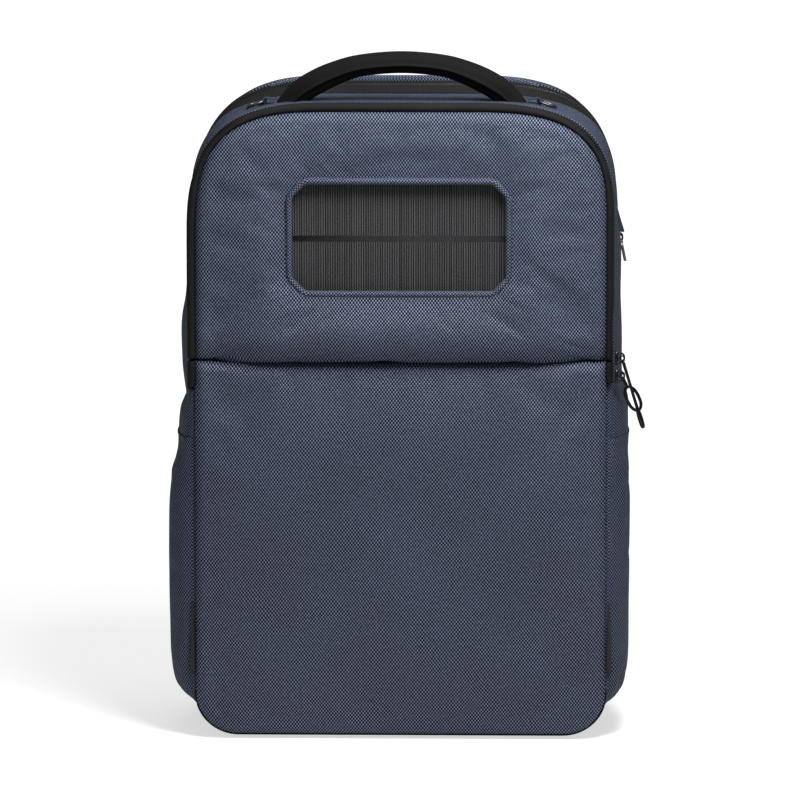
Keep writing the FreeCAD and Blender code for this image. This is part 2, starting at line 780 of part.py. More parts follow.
def gussets():
    """The fabric walls: zipper gusset, lower gusset, laptop gusset, seam binding and lining."""
    keep(
        prism(
            "zipper_gusset",
            [
                arch(
                    "dims.gusset_width",
                    "dims.gusset_top",
                    "dims.gusset_radius",
                    "dims.wall",
                    "dims.zipper_end_z",
                )
            ],
            "dims.gusset_front_y",
            "dims.gusset_back_y - dims.gusset_front_y",
        ),
        "zipper_gusset",
    )
    seam = "dims.zipper_end_z - dims.fit_gap"
    keep(
        prism(
            "lower_gusset",
            [
                trough(
                    "dims.gusset_width",
                    "dims.gusset_bottom",
                    "dims.low_radius",
                    "dims.wall",
                    seam,
                )
            ],
            "dims.base_front_y",
            "dims.rear_front_y - dims.fit_gap - dims.base_front_y",
        ),
        "lower_gusset",
    )
    keep(
        prism(
            "front_seam_binding",
            [
                trough(
                    "dims.band_width",
                    "dims.gusset_bottom - dims.base_thick",
                    "dims.low_radius",
                    "dims.band_wall / 2",
                    seam,
                )
            ],
            "dims.band_front_y",
            "dims.base_front_y - dims.fit_gap - dims.band_front_y",
        ),
        "front_seam_binding",
    )
    keep(
        prism(
            "laptop_gusset",
            ring(
                "dims.gusset_width",
                "dims.gusset_bottom",
                "dims.rear_top",
                "dims.low_radius",
                "dims.rear_radius",
                "dims.wall",
            ),
            "dims.rear_front_y",
            "dims.rear_back_y - dims.rear_front_y",
        ),
        "laptop_gusset",
    )
    shrink = "(dims.wall + dims.fit_gap)"
    keep(
        prism(
            "main_lining",
            ring(
                f"dims.gusset_width - 2 * {shrink}",
                f"dims.gusset_bottom + {shrink}",
                f"dims.gusset_top - {shrink}",
                f"dims.low_radius - {shrink}",
                f"dims.gusset_radius - {shrink}",
                "dims.lining_thick",
            ),
            "dims.gusset_front_y",
            "dims.divider_y - dims.fit_gap - dims.gusset_front_y",
        ),
        "main_lining",
    )
    keep(
        prism(
            "divider_panel",
            [
                outline(
                    f"dims.gusset_width - 2 * {shrink}",
                    f"dims.gusset_bottom + {shrink}",
                    f"dims.gusset_top - {shrink}",
                    f"dims.low_radius - {shrink}",
                    f"dims.gusset_radius - {shrink}",
                )
            ],
            "dims.divider_y",
            "dims.divider_thick",
        ),
        "divider_panel",
    )


def laptop_zipper():
    """The black band on the step up to the laptop compartment: two tapes and the coil."""
    band = (
        "dims.gusset_width - 2 * dims.step_inset",
        "dims.step_top",
        "dims.step_radius - dims.step_inset",
    )
    span = "(dims.rear_front_y - dims.gusset_back_y)"
    coil_start = f"dims.gusset_back_y + {span} / 2 - dims.coil_thick / 2"
    coil_end = f"{coil_start} + dims.coil_thick"
    layers = (
        (
            "laptop_zipper_front_tape",
            "dims.gusset_back_y + dims.fit_gap",
            f"{coil_start} - dims.fit_gap",
        ),
        ("laptop_zipper_coil", coil_start, coil_end),
        (
            "laptop_zipper_rear_tape",
            f"{coil_end} + dims.fit_gap",
            "dims.rear_front_y - dims.fit_gap",
        ),
    )
    for name, start, end in layers:
        outline = arch(*band, "dims.step_wall", "dims.zipper_end_z")
        keep(prism(name, [outline], start, f"({end}) - ({start})"), name)


def base_panel():
    """The hard-wearing base: the flat face that the pack stands on."""
    keep(
        prism(
            "base_panel",
            [
                block(
                    "-dims.base_width / 2",
                    "dims.base_width / 2",
                    "dims.base_front_y",
                    "dims.rear_back_y",
                    6,
                )
            ],
            "0",
            "dims.base_thick",
            "XY_Plane",
        ),
        "base_panel",
    )


# ---------------------------------------------------------------- side pockets


def side_pockets():
    """An open-topped slip pocket on each side, with a dark elastic insert at its front seam."""
    inner = "(dims.gusset_width / 2 + dims.fit_gap)"
    for side_name, side in SIDES:
        xs = [f"{side} * {inner}", f"{side} * dims.pocket_out"]
        front, back = "dims.pocket_front_y", "dims.pocket_back_y"
        rounds = (None, "dims.pocket_round")
        corners = [
            (xs[0], front, rounds[0]),
            (xs[1], front, rounds[1]),
            (xs[1], back, rounds[1]),
            (xs[0], back, rounds[0]),
        ]
        outside = prism(
            f"{side_name}_pocket_outside",
            [corners if side > 0 else corners[::-1]],
            "dims.pocket_bottom",
            "dims.pocket_top - dims.pocket_bottom",
            "XY_Plane",
        )
        hollow_width = f"dims.pocket_out - dims.pocket_wall - {inner}"
        hollow_x = inner if side > 0 else f"-({inner} + {hollow_width})"
        hollow = box(
            f"{side_name}_pocket_hollow",
            f"{hollow_x} - {0 if side < 0 else 1}",
            "dims.pocket_front_y + dims.pocket_round",
            "dims.pocket_bottom + dims.pocket_wall",
            f"{hollow_width} + 1",
            "dims.pocket_back_y - dims.pocket_front_y - 2 * dims.pocket_round",
            "dims.pocket_top",
        )
        name = f"{side_name}_side_pocket"
        keep(boolean("Cut", name, outside, hollow), name)
        insert = f"{side_name}_pocket_insert"
        near = "dims.band_width / 2 + dims.fit_gap"
        keep(
            box(
                insert,
                near if side > 0 else f"-({near}) - dims.insert_width",
                "dims.base_front_y - dims.fit_gap - dims.insert_depth",
                "dims.insert_bottom",
                "dims.insert_width",
                "dims.insert_depth",
                "dims.insert_height",
            ),
            insert,
        )


# ---------------------------------------------------------------- back


def back_system():
    """The frame sheet, back panel, two back pads, strap yoke and webbing anchors."""
    stay_y = "dims.rear_back_y - dims.fit_gap - dims.stay_thick"
    keep(
        prism(
            "frame_sheet",
            [
                outline(
                    "dims.stay_width",
                    "dims.gusset_bottom + 12",
                    "dims.gusset_bottom + 12 + dims.stay_height",
                    "dims.low_radius - 12",
                    "dims.rear_radius - 12",
                )
            ],
            stay_y,
            "dims.stay_thick",
        ),
        "frame_sheet",
    )
    panel_y = "dims.rear_back_y + dims.fit_gap"
    keep(
        prism(
            "back_panel",
            [
                outline(
                    "dims.gusset_width",
                    "dims.gusset_bottom",
                    "dims.rear_top",
                    "dims.low_radius",
                    "dims.rear_radius",
                )
            ],
            panel_y,
            "dims.back_thick",
        ),
        "back_panel",
    )
    outer_y = f"{panel_y} + dims.back_thick + dims.fit_gap"
    keep(
        prism(
            "strap_yoke",
            [
                block(
                    "-dims.yoke_width / 2",
                    "dims.yoke_width / 2",
                    "dims.yoke_bottom",
                    "dims.yoke_top",
                    6,
                )
            ],
            outer_y,
            "dims.yoke_thick",
        ),
        "strap_yoke",
    )
    for side_name, side in SIDES:
        near, far = "dims.pad_inner_x", "(dims.pad_inner_x + dims.pad_width)"
        low, high = (f"-{far}", f"-{near}") if side < 0 else (near, far)
        name = f"{side_name}_back_pad"
        pad_loop = block(
            low, high, "dims.pad_bottom", "dims.pad_top", "dims.pad_radius"
        )
        keep(prism(name, [pad_loop], outer_y, "dims.pad_thick"), name)

        name = f"{side_name}_strap_anchor"
        half = "dims.anchor_size / 2"
        centre = f"{side} * dims.anchor_x"
        narrow = f"dims.webbing_width / 2 + 2"
        top, bottom = f"dims.anchor_z + {half}", f"dims.anchor_z - {half}"
        corners = [
            (f"{centre} - {half}", bottom, None),
            (f"{centre} + {half}", bottom, None),
            (f"{centre} + ({narrow})", top, None),
            (f"{centre} - ({narrow})", top, None),
        ]
        keep(prism(name, [corners], outer_y, "dims.anchor_thick"), name)


# ---------------------------------------------------------------- shoulder straps

# A strap is drawn in its own frame: the origin is the flexing point at its upper end,
# -Z runs down along its chord, and +Y is away from the back.


def strap_placement(side):
    """Where a strap's own frame sits in the pack."""
    origin = Vector(
        side * value("dims.strap_top_x"),
        value("dims.strap_top_y"),
        value("dims.strap_top_z"),
    )
    splay = Rotation(Vector(0, 1, 0), -side * value("dims.strap_splay"))
    lean = Rotation(Vector(1, 0, 0), value("dims.strap_lean"))
    return Placement(origin, splay.multiply(lean))


def strap_arc():
    """Mid radius, arc centre and half angle of a strap's bow, as expressions."""
    half = "(dims.strap_length / 2)"
    radius = f"(({half} ^ 2 + dims.strap_bow ^ 2) / (2 * dims.strap_bow))"
    centre = (f"dims.strap_bow - {radius}", f"-{half}")
    angle = f"(asin({half} / {radius}) / 1 deg)"
    return radius, centre, angle


def shoulder_straps():
    """Each strap: the padded band, the webbing loop at its lower end and the ladder lock."""
    radius, centre, angle = strap_arc()
    end_turn = value(angle)
    for side_name, side in SIDES:
        frame = strap_placement(side)
        name = f"{side_name}_shoulder_strap"
        body, sketch = new_body(name, "YZ_Plane")
        add_arc_band(sketch, centre, radius, "dims.strap_thick", f"-{angle}", angle)
        pad_sketch(body, sketch, "YZ_Plane", "0", "dims.strap_width")
        body.setExpression("Placement.Base.x", None)
        shift = Placement(Vector(-value("dims.strap_width / 2"), 0, 0), Rotation())
        body.Placement = frame.multiply(shift)
        keep(body, name)

        # The loop and lock carry on along the strap's lower end: the rod's centre is
        # below that end by the loop's tail, and the whole group is turned to its slope.
        end = Vector(0, 0, -value("dims.strap_length"))
        slope = Rotation(Vector(1, 0, 0), -end_turn)
        local = frame.multiply(Placement(end, slope))
        group = local.multiply(
            Placement(Vector(0, 0, -value("dims.loop_tail + 0.6")), Rotation())
        )
        loop = webbing_loop(f"{side_name}_lock_loop")
        lock = ladder_lock(f"{side_name}_ladder_lock")
        for part in (loop, lock):
            part.Placement = group.multiply(part.Placement)


def webbing_loop(name):
    """A webbing loop round the lock's rod, with a tail that runs up into the strap."""
    half, length = "dims.loop_width / 2", "dims.loop_width"
    outer = rod(f"{name}_outer", "dims.loop_radius", length, "x", f"-{half}", "0", "0")
    tail = box(
        f"{name}_tail",
        f"-{half}",
        "-dims.webbing_thick",
        "0",
        length,
        "2 * dims.webbing_thick",
        "dims.loop_tail",
    )
    bore = rod(
        f"{name}_bore",
        "dims.lock_rod_radius + dims.hinge_clearance",
        f"{length} + 2",
        "x",
        f"-{half} - 1",
        "0",
        "0",
    )
    solid = boolean("MultiFuse", f"{name}_solid", outer, tail)
    return keep(boolean("Cut", name, solid, bore), name)


def ladder_lock(name):
    """A moulded ladder lock: a rod at the top, two side bars and two cross bars."""
    half, side = "dims.lock_width / 2", "dims.lock_side"
    slot_half = f"({half} - {side})"
    notch, bar = "-dims.lock_height * 0.36", "-dims.lock_height * 0.54"
    foot = "-dims.lock_height * 0.84"
    frame = prism(
        f"{name}_frame",
        [
            [
                (f"-({half})", "-dims.lock_height", 3),
                (half, "-dims.lock_height", 3),
                (half, "0", None),
                (slot_half, "0", None),
                (slot_half, notch, None),
                (f"-{slot_half}", notch, None),
                (f"-{slot_half}", "0", None),
                (f"-({half})", "0", None),
            ],
            block(f"-{slot_half}", slot_half, foot, bar),
        ],
        "-dims.lock_thick / 2",
        "dims.lock_thick",
    )
    bar_rod = rod(
        f"{name}_rod",
        "dims.lock_rod_radius",
        "dims.lock_width",
        "x",
        f"-{half}",
        "0",
        "0",
    )
    return keep(boolean("MultiFuse", name, frame, bar_rod), name)


def strap_webbing():
    """The webbing that runs from each anchor up to just below the ladder lock."""
    _, _, angle = strap_arc()
    for side_name, side in SIDES:
        frame = strap_placement(side)
        end = Vector(0, 0, -value("dims.strap_length"))
        slope = Rotation(Vector(1, 0, 0), -value(angle))
        reach = value("dims.loop_tail + dims.lock_height + 3")
        local = frame.multiply(Placement(end, slope))
        top = local.multVec(Vector(0, 0, -reach))
        foot = Vector(
            side * value("dims.anchor_x"),
            value(
                "dims.rear_back_y + dims.back_thick + dims.anchor_thick"
                " + 3 * dims.fit_gap + dims.webbing_thick"
            ),
            value("dims.anchor_z"),
        )
        up = top - foot
        length = up.Length
        sideways = Vector(1, 0, 0)
        across = up.cross(sideways).normalize()
        sideways = across.cross(up).normalize()
        turn = Rotation(sideways, across * -1, up, "ZXY")
        solid = doc.addObject("Part::Box", f"{side_name}_strap_webbing")
        bind(solid, Length="dims.webbing_width", Width="dims.webbing_thick")
        solid.Height = length
        corner = Vector(
            -value("dims.webbing_width / 2"), -value("dims.webbing_thick / 2"), 0
        )
        solid.Placement = Placement(foot, turn).multiply(Placement(corner, Rotation()))
        keep(solid, f"{side_name}_strap_webbing")


# ---------------------------------------------------------------- top handle and rings


def top_handle():
    """A padded arch, tapered in plan at both ends, and the tabs that its ends flex on."""
    half, rise = "dims.handle_half", "dims.handle_rise"
    radius = f"(({half} ^ 2 + {rise} ^ 2) / (2 * {rise}))"
    swing = f"(asin({half} / {radius}) / 1 deg)"
    centre = ("0", f"dims.handle_z + {rise} - {radius}")
    body, sketch = new_body("handle_arch", "XZ_Plane")
    add_arc_band(
        sketch, centre, radius, "dims.handle_thick", f"90 - {swing}", f"90 + {swing}"
    )
    pad_sketch(
        body,
        sketch,
        "XZ_Plane",
        "dims.handle_y - dims.handle_width / 2",
        "dims.handle_width",
    )
    limit_x = value("dims.handle_half * 0.9")

    def long_edge(edge):
        return edge.BoundBox.XLength > limit_x

    round_edges(body, "dims.handle_edge", long_edge)

    reach = f"({half} + 4)"
    waist = f"({half} - dims.handle_taper)"
    wide, neck = "dims.handle_width / 2 + 1", "dims.handle_neck / 2"
    plan_corners = []
    for x, y in (
        (f"-{reach}", f"-({neck})"),
        (f"-{waist}", f"-({wide})"),
        (waist, f"-({wide})"),
        (reach, f"-({neck})"),
        (reach, neck),
        (waist, wide),
        (f"-{waist}", wide),
        (f"-{reach}", neck),
    ):
        plan_corners.append((x, f"dims.handle_y + ({y})", None))
    plan = prism(
        "handle_plan", [plan_corners], "dims.gusset_top - 10", "60", "XY_Plane"
    )
    keep(boolean("Common", "top_handle", body, plan), "top_handle")

    tabs = []
    for side_name, side in SIDES:
        inner, outer = f"{side} * ({half} - 8)", f"{side} * {half}"
        low, high = (outer, inner) if side < 0 else (inner, outer)
        tabs.append(
            box(
                f"{side_name}_handle_tab",
                low,
                "dims.handle_y - 6",
                "dims.gusset_top + dims.fit_gap",
                f"({high}) - ({low})",
                "12",
                "0.8",
            )
        )
    keep(boolean("MultiFuse", "handle_anchor_tabs", *tabs), "handle_anchor_tabs")


def attachment_rings():
    """A small metal ring beside each handle end, hinged in a fabric tab."""
    bar = "dims.ring_span"
    wire = "dims.ring_wire"
    for side_name, side in SIDES:
        name = f"{side_name}_ring"
        start_y = f"-{bar} / 2"
        hinge_bar = rod(f"{name}_bar", wire, bar, "y", "0", start_y, "0")
        far_bar = rod(
            f"{name}_far_bar", wire, bar, "y", f"{side} * dims.ring_reach", start_y, "0"
        )
        arms = []
        for end, y in (("front", start_y), ("rear", f"{bar} / 2")):
            x = "0" if side > 0 else "-dims.ring_reach"
            arms.append(
                rod(f"{name}_{end}_arm", wire, "dims.ring_reach", "x", x, y, "0")
            )
        ring_solid = boolean("MultiFuse", name, hinge_bar, far_bar, *arms)
        pivot = Vector(
            side * value("dims.ring_x"), value("dims.handle_y"), value("dims.ring_z")
        )
        tilt = Rotation(Vector(0, 1, 0), side * value("dims.ring_tilt"))
        ring_solid.Placement = Placement(pivot, tilt)
        keep(ring_solid, name)

        name = f"{side_name}_ring_tab"
        width = f"({bar} - 5)"
        sleeve = rod(
            f"{name}_sleeve", f"{wire} + 1.1", width, "y", "0", f"-{width} / 2", "0"
        )
        tongue_x = "-6" if side > 0 else "0.5"
        tongue = box(
            f"{name}_tongue", tongue_x, f"-{width} / 2", "0.6", "5.5", width, "1.4"
        )
        solid = boolean("MultiFuse", f"{name}_solid", sleeve, tongue)
        bore = rod(
            f"{name}_bore",
            f"{wire} + dims.hinge_clearance",
            f"{width} + 2",
            "y",
            "0",
            f"-{width} / 2 - 1",
            "0",
        )
        tab = boolean("Cut", name, solid, bore)
        tab.Placement = Placement(pivot, Rotation())
        keep(tab, name)


# ---------------------------------------------------------------- sliders and pulls

# A slider is drawn in its own frame: the origin is the centre of its pull pin, which
# runs along Y, and +X is away from the pack's right side.


def slider(name, face_x, y, z, depth="dims.slider_depth"):
    """A zipper slider on the right side, its inner face at face_x and its pin at z."""
    reach = "dims.pin_reach"
    body_block = box(
        f"{name}_block",
        f"-{reach}",
        f"-{depth} / 2",
        "-dims.slider_height / 2",
        "dims.slider_base",
        depth,
        "dims.slider_height",
    )
    pieces = [body_block]
    lug_length = f"{reach} - dims.slider_base + dims.lug_past_pin"
    for end, start in (("front", f"-{depth} / 2"), ("rear", f"{depth} / 2 - dims.lug_thick")):
        pieces.append(
            box(
                f"{name}_{end}_lug",
                f"-{reach} + dims.slider_base",
                start,
                "-dims.lug_height / 2",
                lug_length,
                "dims.lug_thick",
                "dims.lug_height",
            )
        )
    pieces.append(
        rod(f"{name}_pin", "dims.pin_radius", depth, "y", "0", f"-{depth} / 2", "0")
    )
    solid = boolean("MultiFuse", name, *pieces)
    solid.Placement = Placement(
        Vector(value(f"{face_x} + {reach}"), value(y), value(z)), Rotation()
    )
    return keep(solid, name)


def pull_eye(name, offset):
    """The eye of a pull, round the pin, centred at a distance along it."""
    start = f"{offset} - dims.eye_length / 2"
    return rod(f"{name}_eye", "dims.eye_radius", "dims.eye_length", "y", "0", start, "0")


def finish_pull(name, pieces, offset, tilt, face_x, y, z):
    """Fuses a pull, bores its eye, tilts it outward and hangs it on its slider's pin."""
    solid = boolean("MultiFuse", f"{name}_solid", *pieces)
    bore = rod(
        f"{name}_bore",
        "dims.pin_radius + dims.hinge_clearance",
        "dims.eye_length + 2",
        "y",
        "0",
        f"{offset} - dims.eye_length / 2 - 1",
        "0",
    )
    pull = boolean("Cut", name, solid, bore)
    pull.Placement = Placement(
        Vector(value(f"{face_x} + dims.pin_reach"), value(y), value(z)),
        Rotation(Vector(0, 1, 0), -value(tilt)),
    )
    return keep(pull, name)


def sliders_and_pulls():
    """The two main sliders, parked at the right end, and the laptop slider."""
    main_face = "dims.band_width / 2 + dims.slider_gap"
    side_face = "dims.gusset_width / 2 - dims.step_inset + dims.slider_gap"
    main_y, laptop_y = "dims.main_slider_y", "dims.laptop_slider_y"
    slider("upper_slider", main_face, main_y, "dims.upper_slider_z")
    slider("lower_slider", main_face, main_y, "dims.lower_slider_z")
    slider(
        "laptop_slider",
        side_face,
        laptop_y,
        "dims.laptop_slider_z",
        "dims.laptop_slider_depth",
    )

    # The long pull is a slim bar with a thicker tail. It hangs on the front half of its pin.
    offset = "-2.1"
    width = "(dims.eye_length - 0.4)"
    start_y = f"{offset} - {width} / 2"
    bar = box(
        "upper_pull_bar", "-1.1", start_y, "-dims.long_pull", "2.2", width, "dims.long_pull - 1.4"
    )
    tail = box("upper_pull_tail", "-1.8", start_y, "-dims.long_pull - 2", "3.6", width, "12")
    finish_pull(
        "upper_pull",
        [pull_eye("upper_pull", offset), bar, tail],
        offset,
        "dims.long_pull_tilt",
        main_face,
        main_y,
        "dims.upper_slider_z",
    )

    # The ring pull is a stretched hexagonal ring on a short neck, on the rear half of its pin.
    offset = "2.1"
    start_y = f"{offset} - {width} / 2"
    neck = box("lower_pull_neck", "-1.1", start_y, "-9", "2.2", width, "7.6")
    loops = []
    for half, inset in (("dims.ring_pull_width / 2", 0), ("(dims.ring_pull_width / 2 - 2)", 2)):
        top, bottom = f"-8 - {inset}", f"-dims.ring_pull + {inset}"
        corners = []
        for x, z in (
            (f"-{half} / 2", bottom),
            (f"{half} / 2", bottom),
            (half, f"{bottom} + 4"),
            (half, f"{top} - 4"),
            (f"{half} / 2", top),
            (f"-{half} / 2", top),
            (f"-({half})", f"{top} - 4"),
            (f"-({half})", f"{bottom} + 4"),
        ):
            corners.append((x, z, None))
        loops.append(corners)
    hexagon = prism("lower_pull_ring", loops, start_y, width)
    finish_pull(
        "lower_pull",
        [pull_eye("lower_pull", offset), neck, hexagon],
        offset,
        "dims.ring_pull_tilt",
        main_face,
        main_y,
        "dims.lower_slider_z",
    )

    # The laptop pull is a plain metal tab.
    neck = box("laptop_pull_neck", "-1.1", "-1.7", "-5", "2.2", "3.4", "3.6")
    tab = prism(
        "laptop_pull_tab",
        [block("-4", "4", "-dims.tab_pull", "-4", 1.5)],
        "-1.1",
        "2.2",
        "YZ_Plane",
    )
    finish_pull(
        "laptop_pull",
        [pull_eye("laptop_pull", "0"), neck, tab],
        "0",
        "dims.tab_pull_tilt",
        side_face,
        laptop_y,
        "dims.laptop_slider_z",
    )


def zipper_garage():
    """A folded fabric wedge that shelters the parked laptop slider."""
    inner = "dims.gusset_width / 2 + dims.fit_gap"
    corners = [
        (inner, "dims.garage_bottom", None),
        (f"{inner} + dims.garage_reach", "dims.garage_bottom", None),
        (f"{inner} + 1", "dims.garage_bottom + dims.garage_height", None),
        (inner, "dims.garage_bottom + dims.garage_height", None),
    ]
    keep(
        prism(
            "zipper_garage",
            [corners],
            "dims.laptop_slider_y - dims.garage_width / 2",
            "dims.garage_width",
        ),
        "zipper_garage",
    )


# ---------------------------------------------------------------- build and export

front_panels()
solar_panel()
charging_parts()
main_zipper()
gussets()
laptop_zipper()
base_panel()
side_pockets()
back_system()
shoulder_straps()
strap_webbing()
top_handle()
attachment_rings()
sliders_and_pulls()
zipper_garage()
doc.recompute()

for obj in doc.Objects:
    for state in ("Invalid", "Error"):
        if state in obj.State:
            raise RuntimeError(f"{obj.Label} is {state}")

os.makedirs("parts", exist_ok=True)
for obj in subparts:
    shape = obj.Shape
    if shape.isNull() or not shape.isValid() or not shape.Solids:
        raise RuntimeError(f"{obj.Label} has no valid solid")
    shape.exportStep(os.path.join("parts", f"{obj.Label}.step"))
print(f"{len(subparts)} sub-parts written")
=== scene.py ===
import json
import math

import bmesh
import bpy
import numpy as np
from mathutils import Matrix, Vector


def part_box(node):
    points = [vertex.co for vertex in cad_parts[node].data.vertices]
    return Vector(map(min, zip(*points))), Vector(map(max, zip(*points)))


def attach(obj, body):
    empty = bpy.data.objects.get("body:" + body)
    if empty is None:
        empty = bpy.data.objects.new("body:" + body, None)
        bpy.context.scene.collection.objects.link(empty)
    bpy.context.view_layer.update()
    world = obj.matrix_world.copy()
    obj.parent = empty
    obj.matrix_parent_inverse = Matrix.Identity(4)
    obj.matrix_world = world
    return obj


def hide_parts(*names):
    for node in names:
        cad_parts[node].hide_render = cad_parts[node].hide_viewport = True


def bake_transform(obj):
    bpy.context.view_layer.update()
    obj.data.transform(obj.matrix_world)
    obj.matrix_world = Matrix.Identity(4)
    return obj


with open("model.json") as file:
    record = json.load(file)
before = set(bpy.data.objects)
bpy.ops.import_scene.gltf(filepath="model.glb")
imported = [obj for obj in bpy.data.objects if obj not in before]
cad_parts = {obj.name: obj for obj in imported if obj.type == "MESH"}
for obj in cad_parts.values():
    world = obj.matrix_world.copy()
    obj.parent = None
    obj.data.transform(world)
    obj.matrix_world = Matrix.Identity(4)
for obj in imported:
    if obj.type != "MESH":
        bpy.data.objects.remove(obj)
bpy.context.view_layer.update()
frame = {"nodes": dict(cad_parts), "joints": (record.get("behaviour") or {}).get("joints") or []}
JOINTS = {joint["name"]: joint for joint in frame["joints"]}

# Lengths in this script are millimetres until a mesh is made, in the same frame as the
# CAD: +Z up, the front faces -Y, +X to the right when looking at the front.
MM = 0.001
SIDES = (("left", -1), ("right", 1))


def cad_box(node):
    """A CAD node's lowest and highest corner in millimetres."""
    low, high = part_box(node)
    return np.array(low) / MM, np.array(high) / MM


# ---------------------------------------------------------------- places from the CAD

LID_LOW, LID_HIGH = cad_box("upper_front_panel")
LOWER_LOW, LOWER_HIGH = cad_box("lower_front_panel")
BAND_LOW, BAND_HIGH = cad_box("lid_zipper_tape")
WALL_LOW, WALL_HIGH = cad_box("zipper_gusset")
REAR_LOW, REAR_HIGH = cad_box("laptop_gusset")
BACK_LOW, BACK_HIGH = cad_box("back_panel")
TRIM_LOW, TRIM_HIGH = cad_box("window_trim")
CREASE_Z = (LID_LOW[2] + LOWER_HIGH[2]) / 2 - 1.6
ZIP_END_Z = WALL_LOW[2]
FRONT_Y = LID_LOW[1]
SEAM_Y = LID_HIGH[1] - 2
WALL_FRONT_Y, WALL_REAR_Y = WALL_LOW[1], WALL_HIGH[1]
STEP_REAR_Y = REAR_LOW[1]

# The soft shell's own outline: a little slimmer and taller than the CAD's plain one.
SHELL_HALF = BAND_HIGH[0] - 2.6
SHELL_TOP = BAND_HIGH[2] + 0.8
SHELL_FOOT = 0.8
EDGE_IN = 5.0

# The pack's upper corners are superellipses. The soft shell has settled a little unevenly:
# its corners are this wide, and this tall at the left and at the right.
CORNER_WIDE, CORNER_POWER = 105, 3.02
CORNER_TALL_LEFT, CORNER_TALL_RIGHT = 98, 86
LOW_RADIUS = 32


# ---------------------------------------------------------------- node materials


class Nodes:
    """Builds a node material one node at a time."""

    def __init__(self, name):
        self.material = bpy.data.materials.new(name)
        self.material.use_nodes = True
        self.tree = self.material.node_tree
        self.tree.nodes.clear()

    def put(self, socket, given):
        """Links a socket to another node's output, or sets its value."""
        if isinstance(given, bpy.types.NodeSocket):
            self.tree.links.new(given, socket)
        elif isinstance(given, tuple) and len(given) == 3 and len(socket.default_value) == 4:
            socket.default_value = (*given, 1.0)
        else:
            socket.default_value = given

    def add(self, kind, inputs=None, **settings):
        """Adds a node with its settings and inputs."""
        node = self.tree.nodes.new(kind)
        for key, given in settings.items():
            setattr(node, key, given)
        for key, given in (inputs or {}).items():
            self.put(node.inputs[key], given)
        return node

    def math(self, operation, first, second=0.0):
        """One step of arithmetic on values or outputs."""
        node = self.add("ShaderNodeMath", operation=operation)
        self.put(node.inputs[0], first)
        self.put(node.inputs[1], second)
        return node.outputs[0]

    def mix(self, factor, first, second):
        """A blend of two colours."""
        node = self.add("ShaderNodeMix", data_type="RGBA")
        self.put(node.inputs["Factor"], factor)
        self.put(node.inputs[6], first)
        self.put(node.inputs[7], second)
        return node.outputs[2]

    def ramp(self, factor, low, high, from_low=0.0, from_high=1.0):
        """Goes smoothly from low to high as the factor goes from from_low to from_high."""
        node = self.add("ShaderNodeMapRange", interpolation_type="SMOOTHSTEP")
        for key, given in (
            ("Value", factor),
            ("From Min", from_low),
            ("From Max", from_high),
            ("To Min", low),
            ("To Max", high),
        ):
            self.put(node.inputs[key], given)
        return node.outputs[0]

    def wave(self, distance, pitch):
        """A cosine of a distance, -1 to 1, that repeats at pitch."""
        return self.math("COSINE", self.math("MULTIPLY", distance, 2 * math.pi / pitch))

    def half(self, wave):
        """Moves a -1 to 1 value to 0 to 1."""
        return self.math("ADD", self.math("MULTIPLY", wave, 0.5), 0.5)

    def scaled(self, colour, factor):
        """A colour made brighter or darker by a factor."""
        node = self.add("ShaderNodeVectorMath", operation="SCALE")
        self.put(node.inputs[0], colour)
        self.put(node.inputs["Scale"], factor)
        return node.outputs[0]

    def noise(self, vector, scale, detail=2.0, roughness=0.5):
        """Soft noise, 0 to 1."""
        inputs = {"Vector": vector, "Scale": scale, "Detail": detail, "Roughness": roughness}
        return self.add("ShaderNodeTexNoise", inputs).outputs["Fac"]

    def cloth_uv(self):
        """Cloth coordinates in millimetres: along and across the weave."""
        vector = self.add("ShaderNodeUVMap", uv_map="cloth").outputs["UV"]
        parts = self.add("ShaderNodeSeparateXYZ", {"Vector": vector})
        return vector, parts.outputs["X"], parts.outputs["Y"]

    def solid_mm(self):
        """The object's own coordinates in millimetres."""
        vector = self.add("ShaderNodeTexCoord").outputs["Object"]
        scaled = self.add("ShaderNodeVectorMath", operation="SCALE")
        self.put(scaled.inputs[0], vector)
        scaled.inputs["Scale"].default_value = 1 / MM
        return scaled.outputs[0]

    def surface(self, relief=None, depth=0.1, **inputs):
        """Finishes with a principled surface; relief is a 0 to 1 height, depth is in mm."""
        shader = self.add("ShaderNodeBsdfPrincipled")
        for key, given in inputs.items():
            self.put(shader.inputs[key.replace("_", " ")], given)
        if relief is not None:
            bump = self.add("ShaderNodeBump", {"Height": relief, "Distance": depth * MM})
            self.tree.links.new(bump.outputs["Normal"], shader.inputs["Normal"])
        out = self.add("ShaderNodeOutputMaterial")
        self.tree.links.new(shader.outputs[0], out.inputs["Surface"])
        return self.material


def scale_colour(colour, factor):
    """A plain colour made brighter or darker."""
    return tuple(channel * factor for channel in colour)


